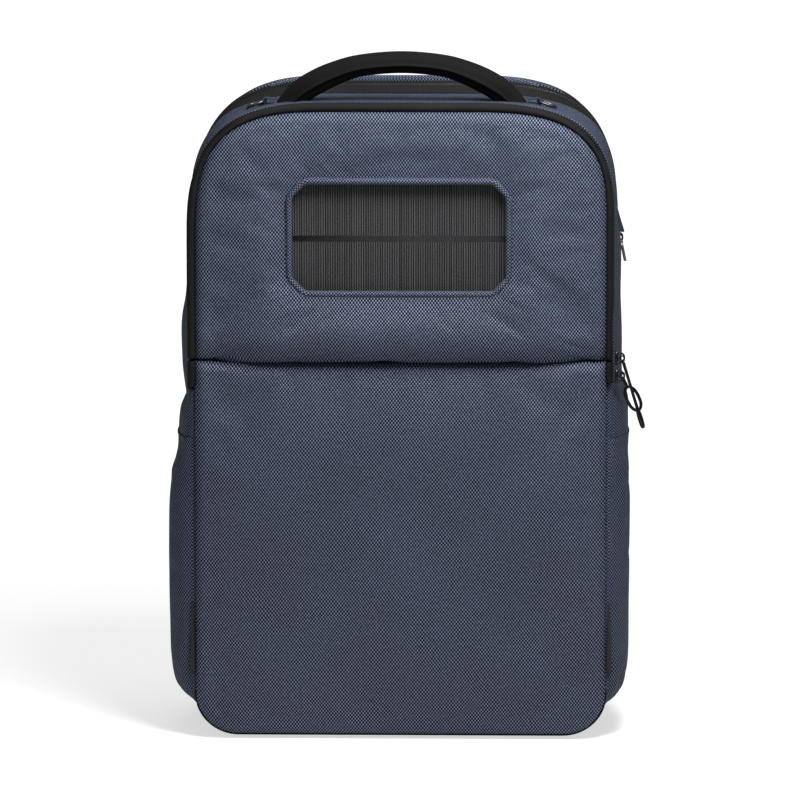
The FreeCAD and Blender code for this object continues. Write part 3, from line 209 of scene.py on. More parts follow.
def ballistic_weave(name, dark, light, across_pitch=2.25, along_pitch=2.88, depth=0.42):
    """A coarse basket weave: bright thread crowns in a staggered grid on a dark ground."""
    n = Nodes(name)
    vector, u, v = n.cloth_uv()
    drift = n.math("MULTIPLY", n.noise(vector, 0.02, 1.0), 2.5)
    across = n.wave(n.math("ADD", u, drift), across_pitch)
    along = n.wave(n.math("ADD", v, drift), along_pitch)
    crown = n.half(n.math("MULTIPLY", across, along))
    threads = n.noise(vector, 1.1, 2.0, 0.6)
    height = n.math("ADD", n.math("MULTIPLY", crown, 0.9), n.math("MULTIPLY", threads, 0.2))
    sharp = n.ramp(height, 0.0, 1.0, 0.3, 0.95)
    colour = n.mix(sharp, dark, light)
    patches = n.ramp(n.noise(vector, 0.012, 3.0), 0.92, 1.08, 0.3, 0.7)
    flecks = n.ramp(n.noise(vector, 0.45, 1.0), 0.82, 1.18, 0.25, 0.75)
    return n.surface(
        relief=height,
        depth=depth,
        Base_Color=n.scaled(colour, n.math("MULTIPLY", patches, flecks)),
        Roughness=n.ramp(sharp, 0.85, 0.46),
        Specular_IOR_Level=n.ramp(sharp, 0.0, 0.75),
    )


def plain_weave(name, dark, light, pitch=0.9, depth=0.07, ribs=0.0, slub=0.5, gloss=0.1):
    """A fine plain weave with soft yarn flecks; ribs above 0 adds a stronger cross rib."""
    n = Nodes(name)
    vector, u, v = n.cloth_uv()
    weave = n.half(n.math("MULTIPLY", n.wave(u, pitch), n.wave(v, pitch)))
    if ribs:
        rib = n.math("ABSOLUTE", n.wave(v, pitch * 3))
        weave = n.math("ADD", weave, n.math("MULTIPLY", rib, ribs))
    yarn = n.noise(vector, 1.6, 2.0, 0.6)
    height = n.math("ADD", n.math("MULTIPLY", weave, 0.7), n.math("MULTIPLY", yarn, slub))
    colour = n.mix(n.ramp(height, 0.0, 1.0, 0.25, 1.0), dark, light)
    patches = n.ramp(n.noise(vector, 0.02, 3.0), 0.9, 1.1, 0.3, 0.7)
    return n.surface(
        relief=height,
        depth=depth,
        Base_Color=n.scaled(colour, patches),
        Roughness=0.8,
        Specular_IOR_Level=gloss,
    )


def herringbone(name, dark, light, pitch=1.5, column=2.9, depth=0.12):
    """Woven tape: slanted threads that change direction in columns along its length."""
    n = Nodes(name)
    vector, u, v = n.cloth_uv()
    slant = n.math("ADD", u, n.math("MULTIPLY", n.math("PINGPONG", v, column), 0.9))
    thread = n.half(n.wave(slant, pitch))
    yarn = n.noise(vector, 2.2, 2.0, 0.6)
    height = n.math("ADD", n.math("MULTIPLY", thread, 0.8), n.math("MULTIPLY", yarn, 0.4))
    colour = n.mix(n.ramp(height, 0.0, 1.0, 0.3, 1.1), dark, light)
    patches = n.ramp(n.noise(vector, 0.03, 2.0), 0.88, 1.12, 0.3, 0.7)
    return n.surface(
        relief=height,
        depth=depth,
        Base_Color=n.scaled(colour, patches),
        Roughness=0.75,
        Specular_IOR_Level=0.12,
    )


def air_mesh(name, dark, light, pitch=3.2, depth=0.5):
    """Spacer mesh: a staggered grid of open holes in a knitted face."""
    n = Nodes(name)
    vector, u, v = n.cloth_uv()
    hole = n.math("MULTIPLY", n.wave(u, pitch), n.wave(v, pitch * 1.6))
    open_part = n.ramp(hole, 1.0, 0.0, 0.2, 0.75)
    knit = n.noise(vector, 3.0, 2.0, 0.6)
    height = n.math("ADD", n.math("MULTIPLY", open_part, 0.8), n.math("MULTIPLY", knit, 0.25))
    return n.surface(
        relief=height,
        depth=depth,
        Base_Color=n.mix(n.ramp(height, 0.0, 1.0, 0.1, 1.0), dark, light),
        Roughness=0.9,
        Sheen_Weight=0.1,
        Specular_IOR_Level=0.2,
    )


def moulded(name, colour, rough=0.5, grain=1.5, depth=0.04, wear=0.12):
    """Moulded plastic or painted metal: fine grain, faint smudges and paler worn edges."""
    n = Nodes(name)
    vector = n.solid_mm()
    fine = n.noise(vector, grain, 3.0, 0.6)
    smudge = n.noise(vector, 0.12, 2.0)
    edge = n.add("ShaderNodeNewGeometry").outputs["Pointiness"]
    worn = n.ramp(edge, 0.0, wear, 0.52, 0.62)
    base = n.mix(worn, colour, scale_colour(colour, 4.0))
    return n.surface(
        relief=fine,
        depth=depth,
        Base_Color=base,
        Roughness=n.ramp(smudge, rough - 0.08, rough + 0.1, 0.3, 0.7),
        Specular_IOR_Level=0.35,
    )


def brushed(name, colour, rough=0.34):
    """Brushed metal: fine streaks along Z, with a little uneven polish."""
    n = Nodes(name)
    vector = n.solid_mm()
    stretch = n.add("ShaderNodeMapping", {"Vector": vector, "Scale": (6.0, 6.0, 0.25)})
    streak = n.noise(stretch.outputs[0], 1.2, 3.0, 0.6)
    polish = n.noise(vector, 0.3, 2.0)
    return n.surface(
        relief=streak,
        depth=0.02,
        Base_Color=n.mix(streak, scale_colour(colour, 0.8), scale_colour(colour, 1.15)),
        Roughness=n.ramp(polish, rough, rough + 0.14, 0.3, 0.7),
        Metallic=1.0,
    )


def ribbed_cell(name, dark, light, pitch=1.67, wide=17.5):
    """Solar cells under a ribbed film: uneven upright lines, and wider gaps at intervals."""
    n = Nodes(name)
    vector, u, _ = n.cloth_uv()
    line = n.ramp(n.wave(u, pitch), 0.0, 1.0, -0.7, 0.9)
    stretch = n.add("ShaderNodeMapping", {"Vector": vector, "Scale": (1.0, 0.003, 1.0)})
    uneven = n.ramp(n.noise(stretch.outputs[0], 0.5, 3.0, 0.75), 0.55, 1.2, 0.32, 0.68)
    gap = n.ramp(n.math("PINGPONG", u, wide / 2), 0.5, 1.0, 0.0, 0.8)
    tone = n.math("MULTIPLY", n.math("MULTIPLY", line, gap), uneven)
    return n.surface(Base_Color=n.mix(tone, dark, light), Roughness=0.6, Specular_IOR_Level=0.1)


def clear_film(name):
    """A clear satin sheet: see-through, with a weak soft reflection."""
    n = Nodes(name)
    smudge = n.noise(n.solid_mm(), 0.06, 3.0)
    clear = n.add("ShaderNodeBsdfTransparent", {"Color": (0.97, 0.97, 0.98, 1.0)})
    gloss = n.add("ShaderNodeBsdfGlossy", {"Roughness": n.ramp(smudge, 0.16, 0.3, 0.3, 0.7)})
    fresnel = n.add("ShaderNodeFresnel", {"IOR": 1.4}).outputs[0]
    both = n.add("ShaderNodeMixShader")
    n.put(both.inputs[0], n.math("MULTIPLY", fresnel, 0.08))
    n.tree.links.new(clear.outputs[0], both.inputs[1])
    n.tree.links.new(gloss.outputs[0], both.inputs[2])
    out = n.add("ShaderNodeOutputMaterial")
    n.tree.links.new(both.outputs[0], out.inputs["Surface"])
    return n.material


BALLISTIC = ballistic_weave("ballistic_navy", (0.005, 0.007, 0.015), (0.132, 0.162, 0.246))
WALL_CLOTH = ballistic_weave("wall_navy", (0.008, 0.011, 0.021), (0.094, 0.118, 0.186))
SIDE_CLOTH = plain_weave("plain_navy", (0.018, 0.024, 0.044), (0.052, 0.065, 0.106), slub=0.35)
DARK_CLOTH = plain_weave("plain_black", (0.004, 0.004, 0.005), (0.018, 0.018, 0.019))
LINING = plain_weave("lining_grey", (0.07, 0.075, 0.085), (0.17, 0.18, 0.20), 0.7, 0.04, gloss=0.2)
TAPE = herringbone("herringbone_tape", (0.003, 0.003, 0.003), (0.021, 0.021, 0.021))
WEBBING = plain_weave("webbing", (0.004, 0.004, 0.004), (0.024, 0.024, 0.025), 1.5, 0.16, ribs=0.5)
HANDLE_CLOTH = plain_weave("handle_cloth", (0.003, 0.003, 0.003), (0.008, 0.008, 0.008), pitch=0.8)
MESH = air_mesh("spacer_mesh", (0.003, 0.003, 0.004), (0.035, 0.037, 0.044))
ELASTIC = plain_weave("elastic", (0.014, 0.015, 0.017), (0.045, 0.046, 0.05), 1.2, 0.12, ribs=0.4)
THREAD = moulded("thread", (0.05, 0.058, 0.085), rough=0.7, grain=4.0)
DARK_THREAD = moulded("dark_thread", (0.02, 0.02, 0.022), rough=0.7, grain=4.0)
COIL = moulded("zipper_coil", (0.010, 0.010, 0.011), rough=0.38, grain=3.0)
PLASTIC = moulded("black_plastic", (0.016, 0.016, 0.017), rough=0.48, depth=0.05)
SHEET = moulded("frame_sheet", (0.25, 0.25, 0.26), rough=0.55)
RUBBER = moulded("cable_rubber", (0.012, 0.012, 0.013), rough=0.6)
DARK_METAL = moulded("dark_metal", (0.003, 0.003, 0.005), rough=0.32, wear=0.05)
GREY_METAL = brushed("grey_metal", (0.16, 0.16, 0.165))
RING_METAL = brushed("ring_metal", (0.09, 0.09, 0.093))
CELL = ribbed_cell("solar_cell", (0.013, 0.0135, 0.0135), (0.100, 0.100, 0.099))
BUSBAR = moulded("busbar", (0.022, 0.0225, 0.0225), rough=0.85, wear=0.02)
LAMINATE = moulded("laminate", (0.02, 0.02, 0.02), rough=0.5)
FILM = clear_film("clear_film")


# ---------------------------------------------------------------- mesh helpers


def mesh_object(name, vertices, faces, corners_uv, material, smooth=True):
    """An object from vertices in millimetres, faces, and one uv pair per face corner."""
    mesh = bpy.data.meshes.new(name)
    mesh.from_pydata([tuple(v) for v in np.asarray(vertices, float) * MM], [], faces)
    layer = mesh.uv_layers.new(name="cloth")
    layer.data.foreach_set("uv", np.asarray(corners_uv, float).ravel())
    mesh.materials.append(material)
    mesh.polygons.foreach_set("use_smooth", [smooth] * len(mesh.polygons))
    mesh.update()
    obj = bpy.data.objects.new(name, mesh)
    bpy.context.scene.collection.objects.link(obj)
    return obj


def grid_object(name, rows, us, vs, material, closed_rows=False, closed_columns=False, caps=False):
    """A sheet of quads through rows of points; us run along a row and vs from row to row."""
    rows = np.asarray(rows, float)
    row_count, column_count = rows.shape[:2]
    faces, uv = [], []
    for j in range(row_count if closed_rows else row_count - 1):
        below, above = j, (j + 1) % row_count
        for i in range(column_count if closed_columns else column_count - 1):
            left, right = i, (i + 1) % column_count
            faces.append(
                (
                    below * column_count + left,
                    below * column_count + right,
                    above * column_count + right,
                    above * column_count + left,
                )
            )
            uv += [(us[i], vs[j]), (us[i + 1], vs[j]), (us[i + 1], vs[j + 1]), (us[i], vs[j + 1])]
    if caps:
        for i in (0, column_count - 1):
            ring = [j * column_count + i for j in range(row_count)]
            faces.append(ring if i else ring[::-1])
            uv += [(us[i], vs[j]) for j in (range(row_count) if i else range(row_count)[::-1])]
    return mesh_object(name, rows.reshape(-1, 3), faces, uv, material)


def face_outward(obj, centre=None):
    """Turns the faces so that they look away from centre, or outward on a closed mesh."""
    mesh = bmesh.new()
    mesh.from_mesh(obj.data)
    bmesh.ops.recalc_face_normals(mesh, faces=mesh.faces)
    if centre is not None:
        middle = Vector(centre) * MM
        total = sum(f.normal.dot(f.calc_center_median() - middle) * f.calc_area() for f in mesh.faces)
        if total < 0:
            bmesh.ops.reverse_faces(mesh, faces=mesh.faces)
    mesh.to_mesh(obj.data)
    mesh.free()
    obj.data.update()
    return obj


# How thick the padded panels, the walls and the pockets are.
PANEL_THICK, WALL_THICK, POCKET_THICK = 1.6, 1.8, 1.2


def thicken(obj, thickness, inner=None, offset=-1.0):
    """Gives a sheet its thickness, away from its outer face; inner is the inside's material."""
    solid = obj.modifiers.new("thickness", "SOLIDIFY")
    solid.thickness = thickness * MM
    solid.offset = offset
    solid.use_even_offset = False
    if inner is not None:
        obj.data.materials.append(inner)
        solid.material_offset = 1
    return obj


def smooth_more(obj):
    """Smooths a piece once, which rounds its quads."""
    subdivision = obj.modifiers.new("smooth", "SUBSURF")
    subdivision.levels = 1
    subdivision.render_levels = 1
    return obj


def soften_edges(obj, width):
    """Rounds a piece's sharp edges."""
    bevel = obj.modifiers.new("soft_edges", "BEVEL")
    bevel.width = width * MM
    bevel.segments = 2
    bevel.limit_method = "ANGLE"
    bevel.angle_limit = math.radians(35)
    return obj


def points_of(obj):
    """A mesh's vertices in millimetres."""
    points = np.zeros(len(obj.data.vertices) * 3)
    obj.data.vertices.foreach_get("co", points)
    return points.reshape(-1, 3) / MM


def place_points(obj, points):
    """Moves a mesh's vertices to points in millimetres."""
    obj.data.vertices.foreach_set("co", (np.asarray(points) * MM).ravel())
    obj.data.update()


def step_between(low, high, x):
    """0 below low, 1 above high, smooth between."""
    t = np.clip((np.asarray(x, float) - low) / (high - low), 0, 1)
    return t * t * (3 - 2 * t)


# ---------------------------------------------------------------- cloth simulation

SIMULATION_FRAMES = 16
CLOTH_TENSION = 15.0


def simulate(obj, held, pressure, cap, growth, bending):
    """Inflates a sheet as cloth. held is each vertex's grip from 0 to 1; cap is in mm."""
    rest = points_of(obj)
    group = obj.vertex_groups.new(name="held")
    held = np.broadcast_to(held, len(rest))
    for index, weight in enumerate(held):
        if weight > 0:
            group.add([index], float(weight), "REPLACE")
    cloth = obj.modifiers.new("cloth", "CLOTH")
    settings = cloth.settings
    settings.quality = 6
    settings.mass = 0.25
    settings.tension_stiffness = CLOTH_TENSION
    settings.compression_stiffness = CLOTH_TENSION
    settings.shear_stiffness = CLOTH_TENSION / 2
    settings.bending_stiffness = bending
    settings.air_damping = 3.0
    settings.vertex_group_mass = "held"
    settings.pin_stiffness = 2.0
    settings.use_pressure = True
    settings.uniform_pressure_force = pressure
    settings.shrink_min = -growth
    settings.shrink_max = -growth
    settings.effector_weights.gravity = 0.0
    cloth.collision_settings.use_collision = False
    cloth.point_cache.frame_start = 1
    cloth.point_cache.frame_end = SIMULATION_FRAMES
    scene = bpy.context.scene
    for number in range(1, SIMULATION_FRAMES + 1):
        scene.frame_set(number)
    evaluated = obj.evaluated_get(bpy.context.evaluated_depsgraph_get())
    result = np.zeros(len(rest) * 3)
    evaluated.data.vertices.foreach_get("co", result)
    obj.modifiers.remove(cloth)
    obj.vertex_groups.remove(group)
    scene.frame_set(1)
    move = result.reshape(-1, 3) / MM - rest
    length = np.linalg.norm(move, axis=1, keepdims=True)
    move *= np.tanh(length / cap) * cap / np.maximum(length, 1e-9)
    place_points(obj, rest + move)
    return obj


# ---------------------------------------------------------------- outlines


def pack_outline(width, bottom, top, low_radius=LOW_RADIUS):
    """The pack's outline seen from the front: closed, from the bottom's centre towards +X."""
    half = width / 2
    right = [(0.0, bottom)]
    for angle in np.radians(np.linspace(-90, 0, 15)):
        right.append(
            (
                half - low_radius + low_radius * math.cos(angle),
                bottom + low_radius + low_radius * math.sin(angle),
            )
        )
    power = 2 / CORNER_POWER
    arcs = []
    for tall in (CORNER_TALL_RIGHT, CORNER_TALL_LEFT):
        arc = []
        for angle in np.radians(np.linspace(0, 90, 41)):
            x = half - CORNER_WIDE + CORNER_WIDE * max(math.cos(angle), 0) ** power
            arc.append((x, top - tall + tall * max(math.sin(angle), 0) ** power))
        arcs.append(arc)
    left = [(-x, z) for x, z in (right[1:] + arcs[1])[::-1]]
    return np.array(right + arcs[0] + [(0.0, top)] + left)


def resample(points, step, closed):
    """Even spacing along a line of points; returns the points and their distances."""
    points = np.asarray(points, float)
    if closed:
        points = np.vstack([points, points[:1]])
    lengths = section_lengths(points, False)
    count = max(2, int(round(lengths[-1] / step)))
    marks = np.linspace(0, lengths[-1], count + 1)
    even = np.array([np.interp(marks, lengths, points[:, k]) for k in range(points.shape[1])]).T
    return (even[:-1] if closed else even), marks


def cut_at(points, height, upper):
    """The part of a closed outline above (or below) a height, with exact ends."""
    points = np.vstack([points, points[:1]])
    kept = []
    for first, second in zip(points[:-1], points[1:]):
        inside = first[1] >= height if upper else first[1] <= height
        after = second[1] >= height if upper else second[1] <= height
        if inside:
            kept.append(first)
        if inside != after:
            share = (height - first[1]) / (second[1] - first[1])
            kept.append(first + (second - first) * share)
    line = np.array(kept)
    if upper:
        return line
    start = int(np.argmax([p[0] < 0 and abs(p[1] - height) < 1e-6 for p in line]))
    return np.roll(line, -start, axis=0)


def outward_normals(path, closed):
    """Unit normals that point out of an outline that runs anticlockwise."""
    if closed:
        ahead, behind = np.roll(path, -1, axis=0), np.roll(path, 1, axis=0)
    else:
        ahead = np.vstack([path[1:], path[-1:]])
        behind = np.vstack([path[:1], path[:-1]])
    tangent = ahead - behind
    tangent /= np.linalg.norm(tangent, axis=1, keepdims=True)
    return np.stack([tangent[:, 1], -tangent[:, 0]], axis=1)


def side_share(normals):
    """How far each normal points sideways, 0 to 1."""
    return normals[:, 0] ** 2


def top_share(normals):
    """How far each normal points up, 0 to 1."""
    return np.clip(normals[:, 1], 0, 1) ** 2


def shell_outline(inward=0.0):
    """The shell's outline seen from the front, moved inward by a constant distance."""
    path, _ = resample(pack_outline(2 * SHELL_HALF, SHELL_FOOT, SHELL_TOP), 2.0, True)
    return path - outward_normals(path, True) * inward


def rear_offset(normals, v):
    """How far the rear wall stands outside the shell, from its front (v 0) to its back."""
    side, top = side_share(normals), top_share(normals)
    return 2.0 + 7.6 * top - 3.0 * side * top - v * (0.6 + 5.0 * side * top)


def rear_outline(v, inward=0.0):
    """The rear wall's outline at its front (v 0) or at its back (v 1)."""
    path = shell_outline()
    normals = outward_normals(path, True)
    return path + normals * (rear_offset(normals, v) - inward)[:, None]


def section_lengths(section, closed):
    """Each point's distance along a line of points."""
    section = np.asarray(section, float)
    if closed:
        section = np.vstack([section, section[:1]])
    return np.r_[0, np.cumsum(np.linalg.norm(np.diff(section, axis=0), axis=1))]


def sweep(name, path, marks, section, material, closed_path=False, closed_section=True):
    """Sweeps a section of (outward, y) points along an outline. section may be a function
    of the outline's points and normals that gives one (outward, y) array per section point."""
    normals = outward_normals(path, closed_path)
    if callable(section):
        offsets, ys = section(path, normals)
    else:
        offsets = [np.full(len(path), o) for o, _ in section]
        ys = [np.full(len(path), y) for _, y in section]
    rows = []
    for offset, y in zip(offsets, ys):
        spot = path + normals * offset[:, None]
        rows.append(np.stack([spot[:, 0], y, spot[:, 1]], axis=1))
    middle = len(path) // 2
    profile = [(o[middle], y[middle]) for o, y in zip(offsets, ys)]
    vs = section_lengths(profile, closed_section)
    return grid_object(
        name,
        rows,
        marks,
        vs,
        material,
        closed_rows=closed_section,
        closed_columns=closed_path,
        caps=closed_section and not closed_path,
    )


def rounded_bar(out_low, out_high, y_low, y_high, radius):
    """A rounded rectangle as a sweep section."""
    corners = []
    for (cx, cy), start in (
        ((out_high - radius, y_low + radius), -90),
        ((out_high - radius, y_high - radius), 0),
        ((out_low + radius, y_high - radius), 90),
        ((out_low + radius, y_low + radius), 180),
    ):
        for angle in np.radians((start, start + 45, start + 90)):
            corners.append((cx + radius * math.cos(angle), cy + radius * math.sin(angle)))
    return corners


def tube(name, points, radii, material, sides=10, closed=False, flat=1.0, up=(0, 0, 1)):
    """A tube through 3-D points, its radius given per point; flat squeezes it along up."""
    points = np.asarray(points, float)
    radii = np.broadcast_to(radii, len(points))
    if closed:
        tangents = np.roll(points, -1, axis=0) - np.roll(points, 1, axis=0)
    else:
        tangents = np.gradient(points, axis=0)
    tangents /= np.linalg.norm(tangents, axis=1, keepdims=True)
    rows = []
    side = np.cross(tangents, np.asarray(up, float))
    side /= np.linalg.norm(side, axis=1, keepdims=True)
    rise = np.cross(side, tangents)
    for k in range(sides):
        angle = 2 * math.pi * k / sides
        rows.append(
            points
            + side * (math.cos(angle) * radii)[:, None]
            + rise * (math.sin(angle) * radii * flat)[:, None]
        )
    step = np.linalg.norm(np.diff(points, axis=0), axis=1)
    us = np.r_[0, np.cumsum(step), np.sum(step) + (step[0] if closed else 0)]
    vs = np.linspace(0, 2 * math.pi * float(np.mean(radii)), sides + 1)
    obj = grid_object(
        name, rows, us, vs, material, closed_rows=True, closed_columns=closed, caps=not closed
    )
    return face_outward(obj)


def boxes(name, centres, frames, sizes, material, taper=1.0):
    """Many small eight-cornered solids as one piece, such as zipper teeth or stitches."""
    corners = np.array(
        [(x, y, z) for z in (-0.5, 0.5) for x, y in ((-0.5, -0.5), (0.5, -0.5), (0.5, 0.5), (-0.5, 0.5))]
    )
    sides = [(0, 3, 2, 1), (4, 5, 6, 7), (0, 1, 5, 4), (1, 2, 6, 5), (2, 3, 7, 6), (3, 0, 4, 7)]
    shaped = corners * np.asarray(sizes, float)
    shaped[4:, :2] *= taper
    vertices, faces, uv = [], [], []
    for k, (centre, axes) in enumerate(zip(centres, frames)):
        vertices.append(np.asarray(centre) + shaped @ np.asarray(axes, float))
        for side in sides:
            faces.append([8 * k + c for c in side])
            uv += [(shaped[c][0] + k, shaped[c][1]) for c in side]
    return face_outward(mesh_object(name, np.vstack(vertices), faces, uv, material, smooth=False))


STITCH_LIFT = 0.15


def stitches(name, line, normals, material, length=2.6, gap=1.3, thick=0.55):
    """A row of thread stitches along a 3-D line that lies on a surface with these normals."""
    line, normals = np.asarray(line, float), np.asarray(normals, float)
    both = np.hstack([line, np.broadcast_to(normals, line.shape)])
    lengths = section_lengths(line, False)
    marks = np.arange(length, lengths[-1] - length / 2, length + gap)
    even = np.array([np.interp(marks, lengths, both[:, k]) for k in range(6)]).T
    ahead = np.array([np.interp(marks + 0.5, lengths, line[:, k]) for k in range(3)]).T
    centres, frames = [], []
    for spot, nxt in zip(even, ahead):
        along = nxt - spot[:3]
        along /= np.linalg.norm(along)
        out = spot[3:] - along * (spot[3:] @ along)
        out /= np.linalg.norm(out)
        centres.append(spot[:3] + out * STITCH_LIFT)
        frames.append((along, np.cross(out, along), out))
    return boxes(name, centres, frames, (length, thick, thick * 0.8), material, taper=0.7)


def finish(obj, body, slot, *nodes):
    """Makes a piece ride on its body and hides the CAD nodes it replaces; slot is not used."""
    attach(obj, body)
    if nodes:
        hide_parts(*nodes)
    return obj


# ---------------------------------------------------------------- front panels


def edge_round(distance, radius):
    """Height share of a rounded edge: 0 at the edge, 1 from radius inward."""
    q = np.clip(distance / radius, 0, 1)
    return np.sqrt(np.maximum(1 - (1 - q) ** 2, 0))


def distance_to(points, line):
    """Shortest distance from 2-D points to a polyline."""
    best = np.full(len(points), 1e9)
    for a, b in zip(line[:-1], line[1:]):
        ab = b - a
        t = np.clip(((points - a) @ ab) / max(ab @ ab, 1e-12), 0, 1)
        best = np.minimum(best, np.linalg.norm(points - (a + t[:, None] * ab), axis=1))
    return best


# The soft window sits a touch up and to the left of the plain CAD one.
WINDOW_WIDE, WINDOW_TALL, WINDOW_CUT = 150, 75.3, 9.5
WINDOW_X = -1.0
WINDOW_Z = (TRIM_LOW[2] + TRIM_HIGH[2]) / 2 + 1.7


def octagon_line(width, height, cut, soft):
    """A window outline with cut, slightly rounded corners, anticlockwise from the right."""
    half, tall = width / 2, height / 2
    sharp = [
        (half, -(tall - cut)),
        (half, tall - cut),
        (half - cut, tall),
        (-(half - cut), tall),
        (-half, tall - cut),
        (-half, -(tall - cut)),
        (-(half - cut), -tall),
        (half - cut, -tall),
    ]
    points = []
    for k, corner in enumerate(sharp):
        corner = np.array(corner)
        before = np.array(sharp[k - 1]) - corner
        after = np.array(sharp[(k + 1) % 8]) - corner
        start = corner + before / np.linalg.norm(before) * soft
        end = corner + after / np.linalg.norm(after) * soft
        for t in (0, 0.25, 0.5, 0.75, 1):
            points.append(start * (1 - t) ** 2 + 2 * corner * t * (1 - t) + end * t * t)
    return np.array(points) + (WINDOW_X, WINDOW_Z)


# Soft dents of the upper panel: centre x, centre z, slope in degrees, length, width, depth.
LID_DENTS = (
    (112, 318, -38, 46, 9, 1.6),
    (126, 298, -30, 34, 7, 1.2),
    (-112, 312, 40, 46, 9, 1.4),
    (-128, 296, 28, 30, 7, 1.1),
    (0, 410, 0, 90, 10, 1.2),
    (60, 300, -8, 60, 9, 0.8),
    (-50, 302, 6, 60, 9, 0.7),
)
LOWER_DENTS = (
    (-118, 232, -50, 40, 10, 0.9),
    (116, 226, 52, 44, 10, 0.9),
    (-96, 70, 30, 60, 14, 0.8),
    (92, 60, -28, 60, 14, 0.8),
    (20, 150, 10, 120, 26, 0.7),
)


def dent_depth(points, dents):
    """How far soft dents press in at 2-D points."""
    total = np.zeros(len(points))
    for x, z, slope, length, width, depth in dents:
        along = np.array((math.cos(math.radians(slope)), math.sin(math.radians(slope))))
        apart = points - (x, z)
        reach = apart @ along
        across = apart @ np.array((-along[1], along[0]))
        total += depth * np.exp(-((reach / length) ** 2) - (across / width) ** 2)
    return total


def crossing(centre, ray, line):
    """Where a ray from centre crosses a closed line that runs round it."""
    best = None
    for a, b in zip(line[:-1], line[1:]):
        matrix = np.array([ray, a - b]).T
        if abs(np.linalg.det(matrix)) < 1e-9:
            continue
        share, along = np.linalg.solve(matrix, a - centre)
        if share > 0 and -1e-6 <= along <= 1 + 1e-6:
            best = centre + ray * share
    return best


def upper_panel():
    """The puffy fabric of the upper front panel: a ring of quads round the window."""
    arch = cut_at(shell_outline(EDGE_IN), CREASE_Z + 0.25, True)
    arch, _ = resample(arch, 4.2, False)
    foot, _ = resample(np.array([arch[-1], arch[0]]), 4.2, False)
    outer = np.vstack([arch, foot[1:-1]])
    window = octagon_line(WINDOW_WIDE + 4, WINDOW_TALL + 4, WINDOW_CUT + 1.2, 1.0)
    closed_window = np.vstack([window, window[:1]])
    centre = np.array((0, WINDOW_Z))
    inner = np.array([crossing(centre, point - centre, closed_window) for point in outer])
    near_edge = np.array([0, 0.25, 0.8, 1.7, 3.0, 4.7, 6.8, 9.4, 12.6]) / 60
    middle = np.linspace(0.26, 0.9, 11)
    near_window = [0.945, 0.975, 1.0]
    shares = np.r_[near_edge, middle, near_window]
    flat = np.array([outer + (inner - outer) * share for share in shares])
    points = flat.reshape(-1, 2)
    from_arch = distance_to(points, arch)
    from_crease = points[:, 1] - arch[0][1]
    from_window = distance_to(points, closed_window)
    height = edge_round(from_arch, 9) * edge_round(from_crease, 22) ** 0.8
    low_share = 1 - step_between(0, 150, from_crease)
    crown = step_between(4, 60, from_arch) * (1.2 + 6.5 * low_share)
    depth = (SEAM_Y - FRONT_Y + 0.6) * height + crown * edge_round(from_crease, 30)
    depth -= (2.6 + 2.5 * low_share) * np.exp(-((from_window / 10) ** 2))
    depth -= dent_depth(points, LID_DENTS) * step_between(2, 14, from_arch)
    us, vs = [0] * (len(outer) + 1), [0] * len(shares)
    rows = lifted(flat, SEAM_Y - depth)
    obj = grid_object("upper_panel_cover", rows, us, vs, BALLISTIC, closed_columns=True)
    flat_uv(obj)
    held = 1 - step_between(2, 16, from_arch) * step_between(2, 12, from_window)
    simulate(face_outward(obj, (0, 0, WINDOW_Z)), held, 2.5, 4.5, growth=0.012, bending=1.5)
    thicken(obj, PANEL_THICK, LINING)
    smooth_more(obj)
    return finish(obj, "front_lid", "navy_fabric", "upper_front_panel")


def flat_uv(obj):
    """Cloth coordinates straight from x and z."""
    points = points_of(obj)
    layer = obj.data.uv_layers["cloth"]
    for loop in obj.data.loops:
        x, _, z = points[loop.vertex_index]
        layer.data[loop.index].uv = (x, z)
    return obj


def flat_sheet(name, flat, y, material):
    """A sheet over a grid of x and z points, at the given y, with flat cloth coordinates."""
    rows = lifted(flat, y)
    row_count, column_count = flat.shape[:2]
    return flat_uv(grid_object(name, rows, [0] * (column_count + 1), [0] * (row_count + 1), material))


def lifted(flat, y):
    """Rows of 3-D points from a grid of x and z points and the y of each."""
    points = flat.reshape(-1, 2)
    spots = np.stack([points[:, 0], np.broadcast_to(y, len(points)), points[:, 1]], axis=1)
    return spots.reshape(*flat.shape[:2], 3)


def width_at(outline, heights, side=1):
    """Half the width of an outline at each height, at its right or left side."""
    half = outline[outline[:, 0] * side >= 0]
    order = np.argsort(half[:, 1], kind="stable")
    zs, xs = half[order][:, 1], np.abs(half[order][:, 0])
    return np.array([np.interp(z, zs, xs) for z in heights])


def face_points(outline, z_marks, edge_marks, step=4.5):
    """A grid over an outline's inside: rows at z_marks, columns spread to its width."""
    half = float(np.max(outline[:, 0]))
    inward = np.array(edge_marks)
    middle_count = int((half - inward[-1]) / step)
    right = np.r_[np.linspace(0, half - inward[-1], middle_count)[:-1], half - inward[::-1]]
    shares = np.r_[-right[:0:-1], right] / half
    rows = []
    for z, left_w, right_w in zip(z_marks, width_at(outline, z_marks, -1), width_at(outline, z_marks)):
        rows.append([(share * (left_w if share < 0 else right_w), z) for share in shares])
    return np.array(rows)


EDGE_MARKS = (0, 0.25, 0.9, 1.9, 3.3, 5.2, 7.6, 10.6)


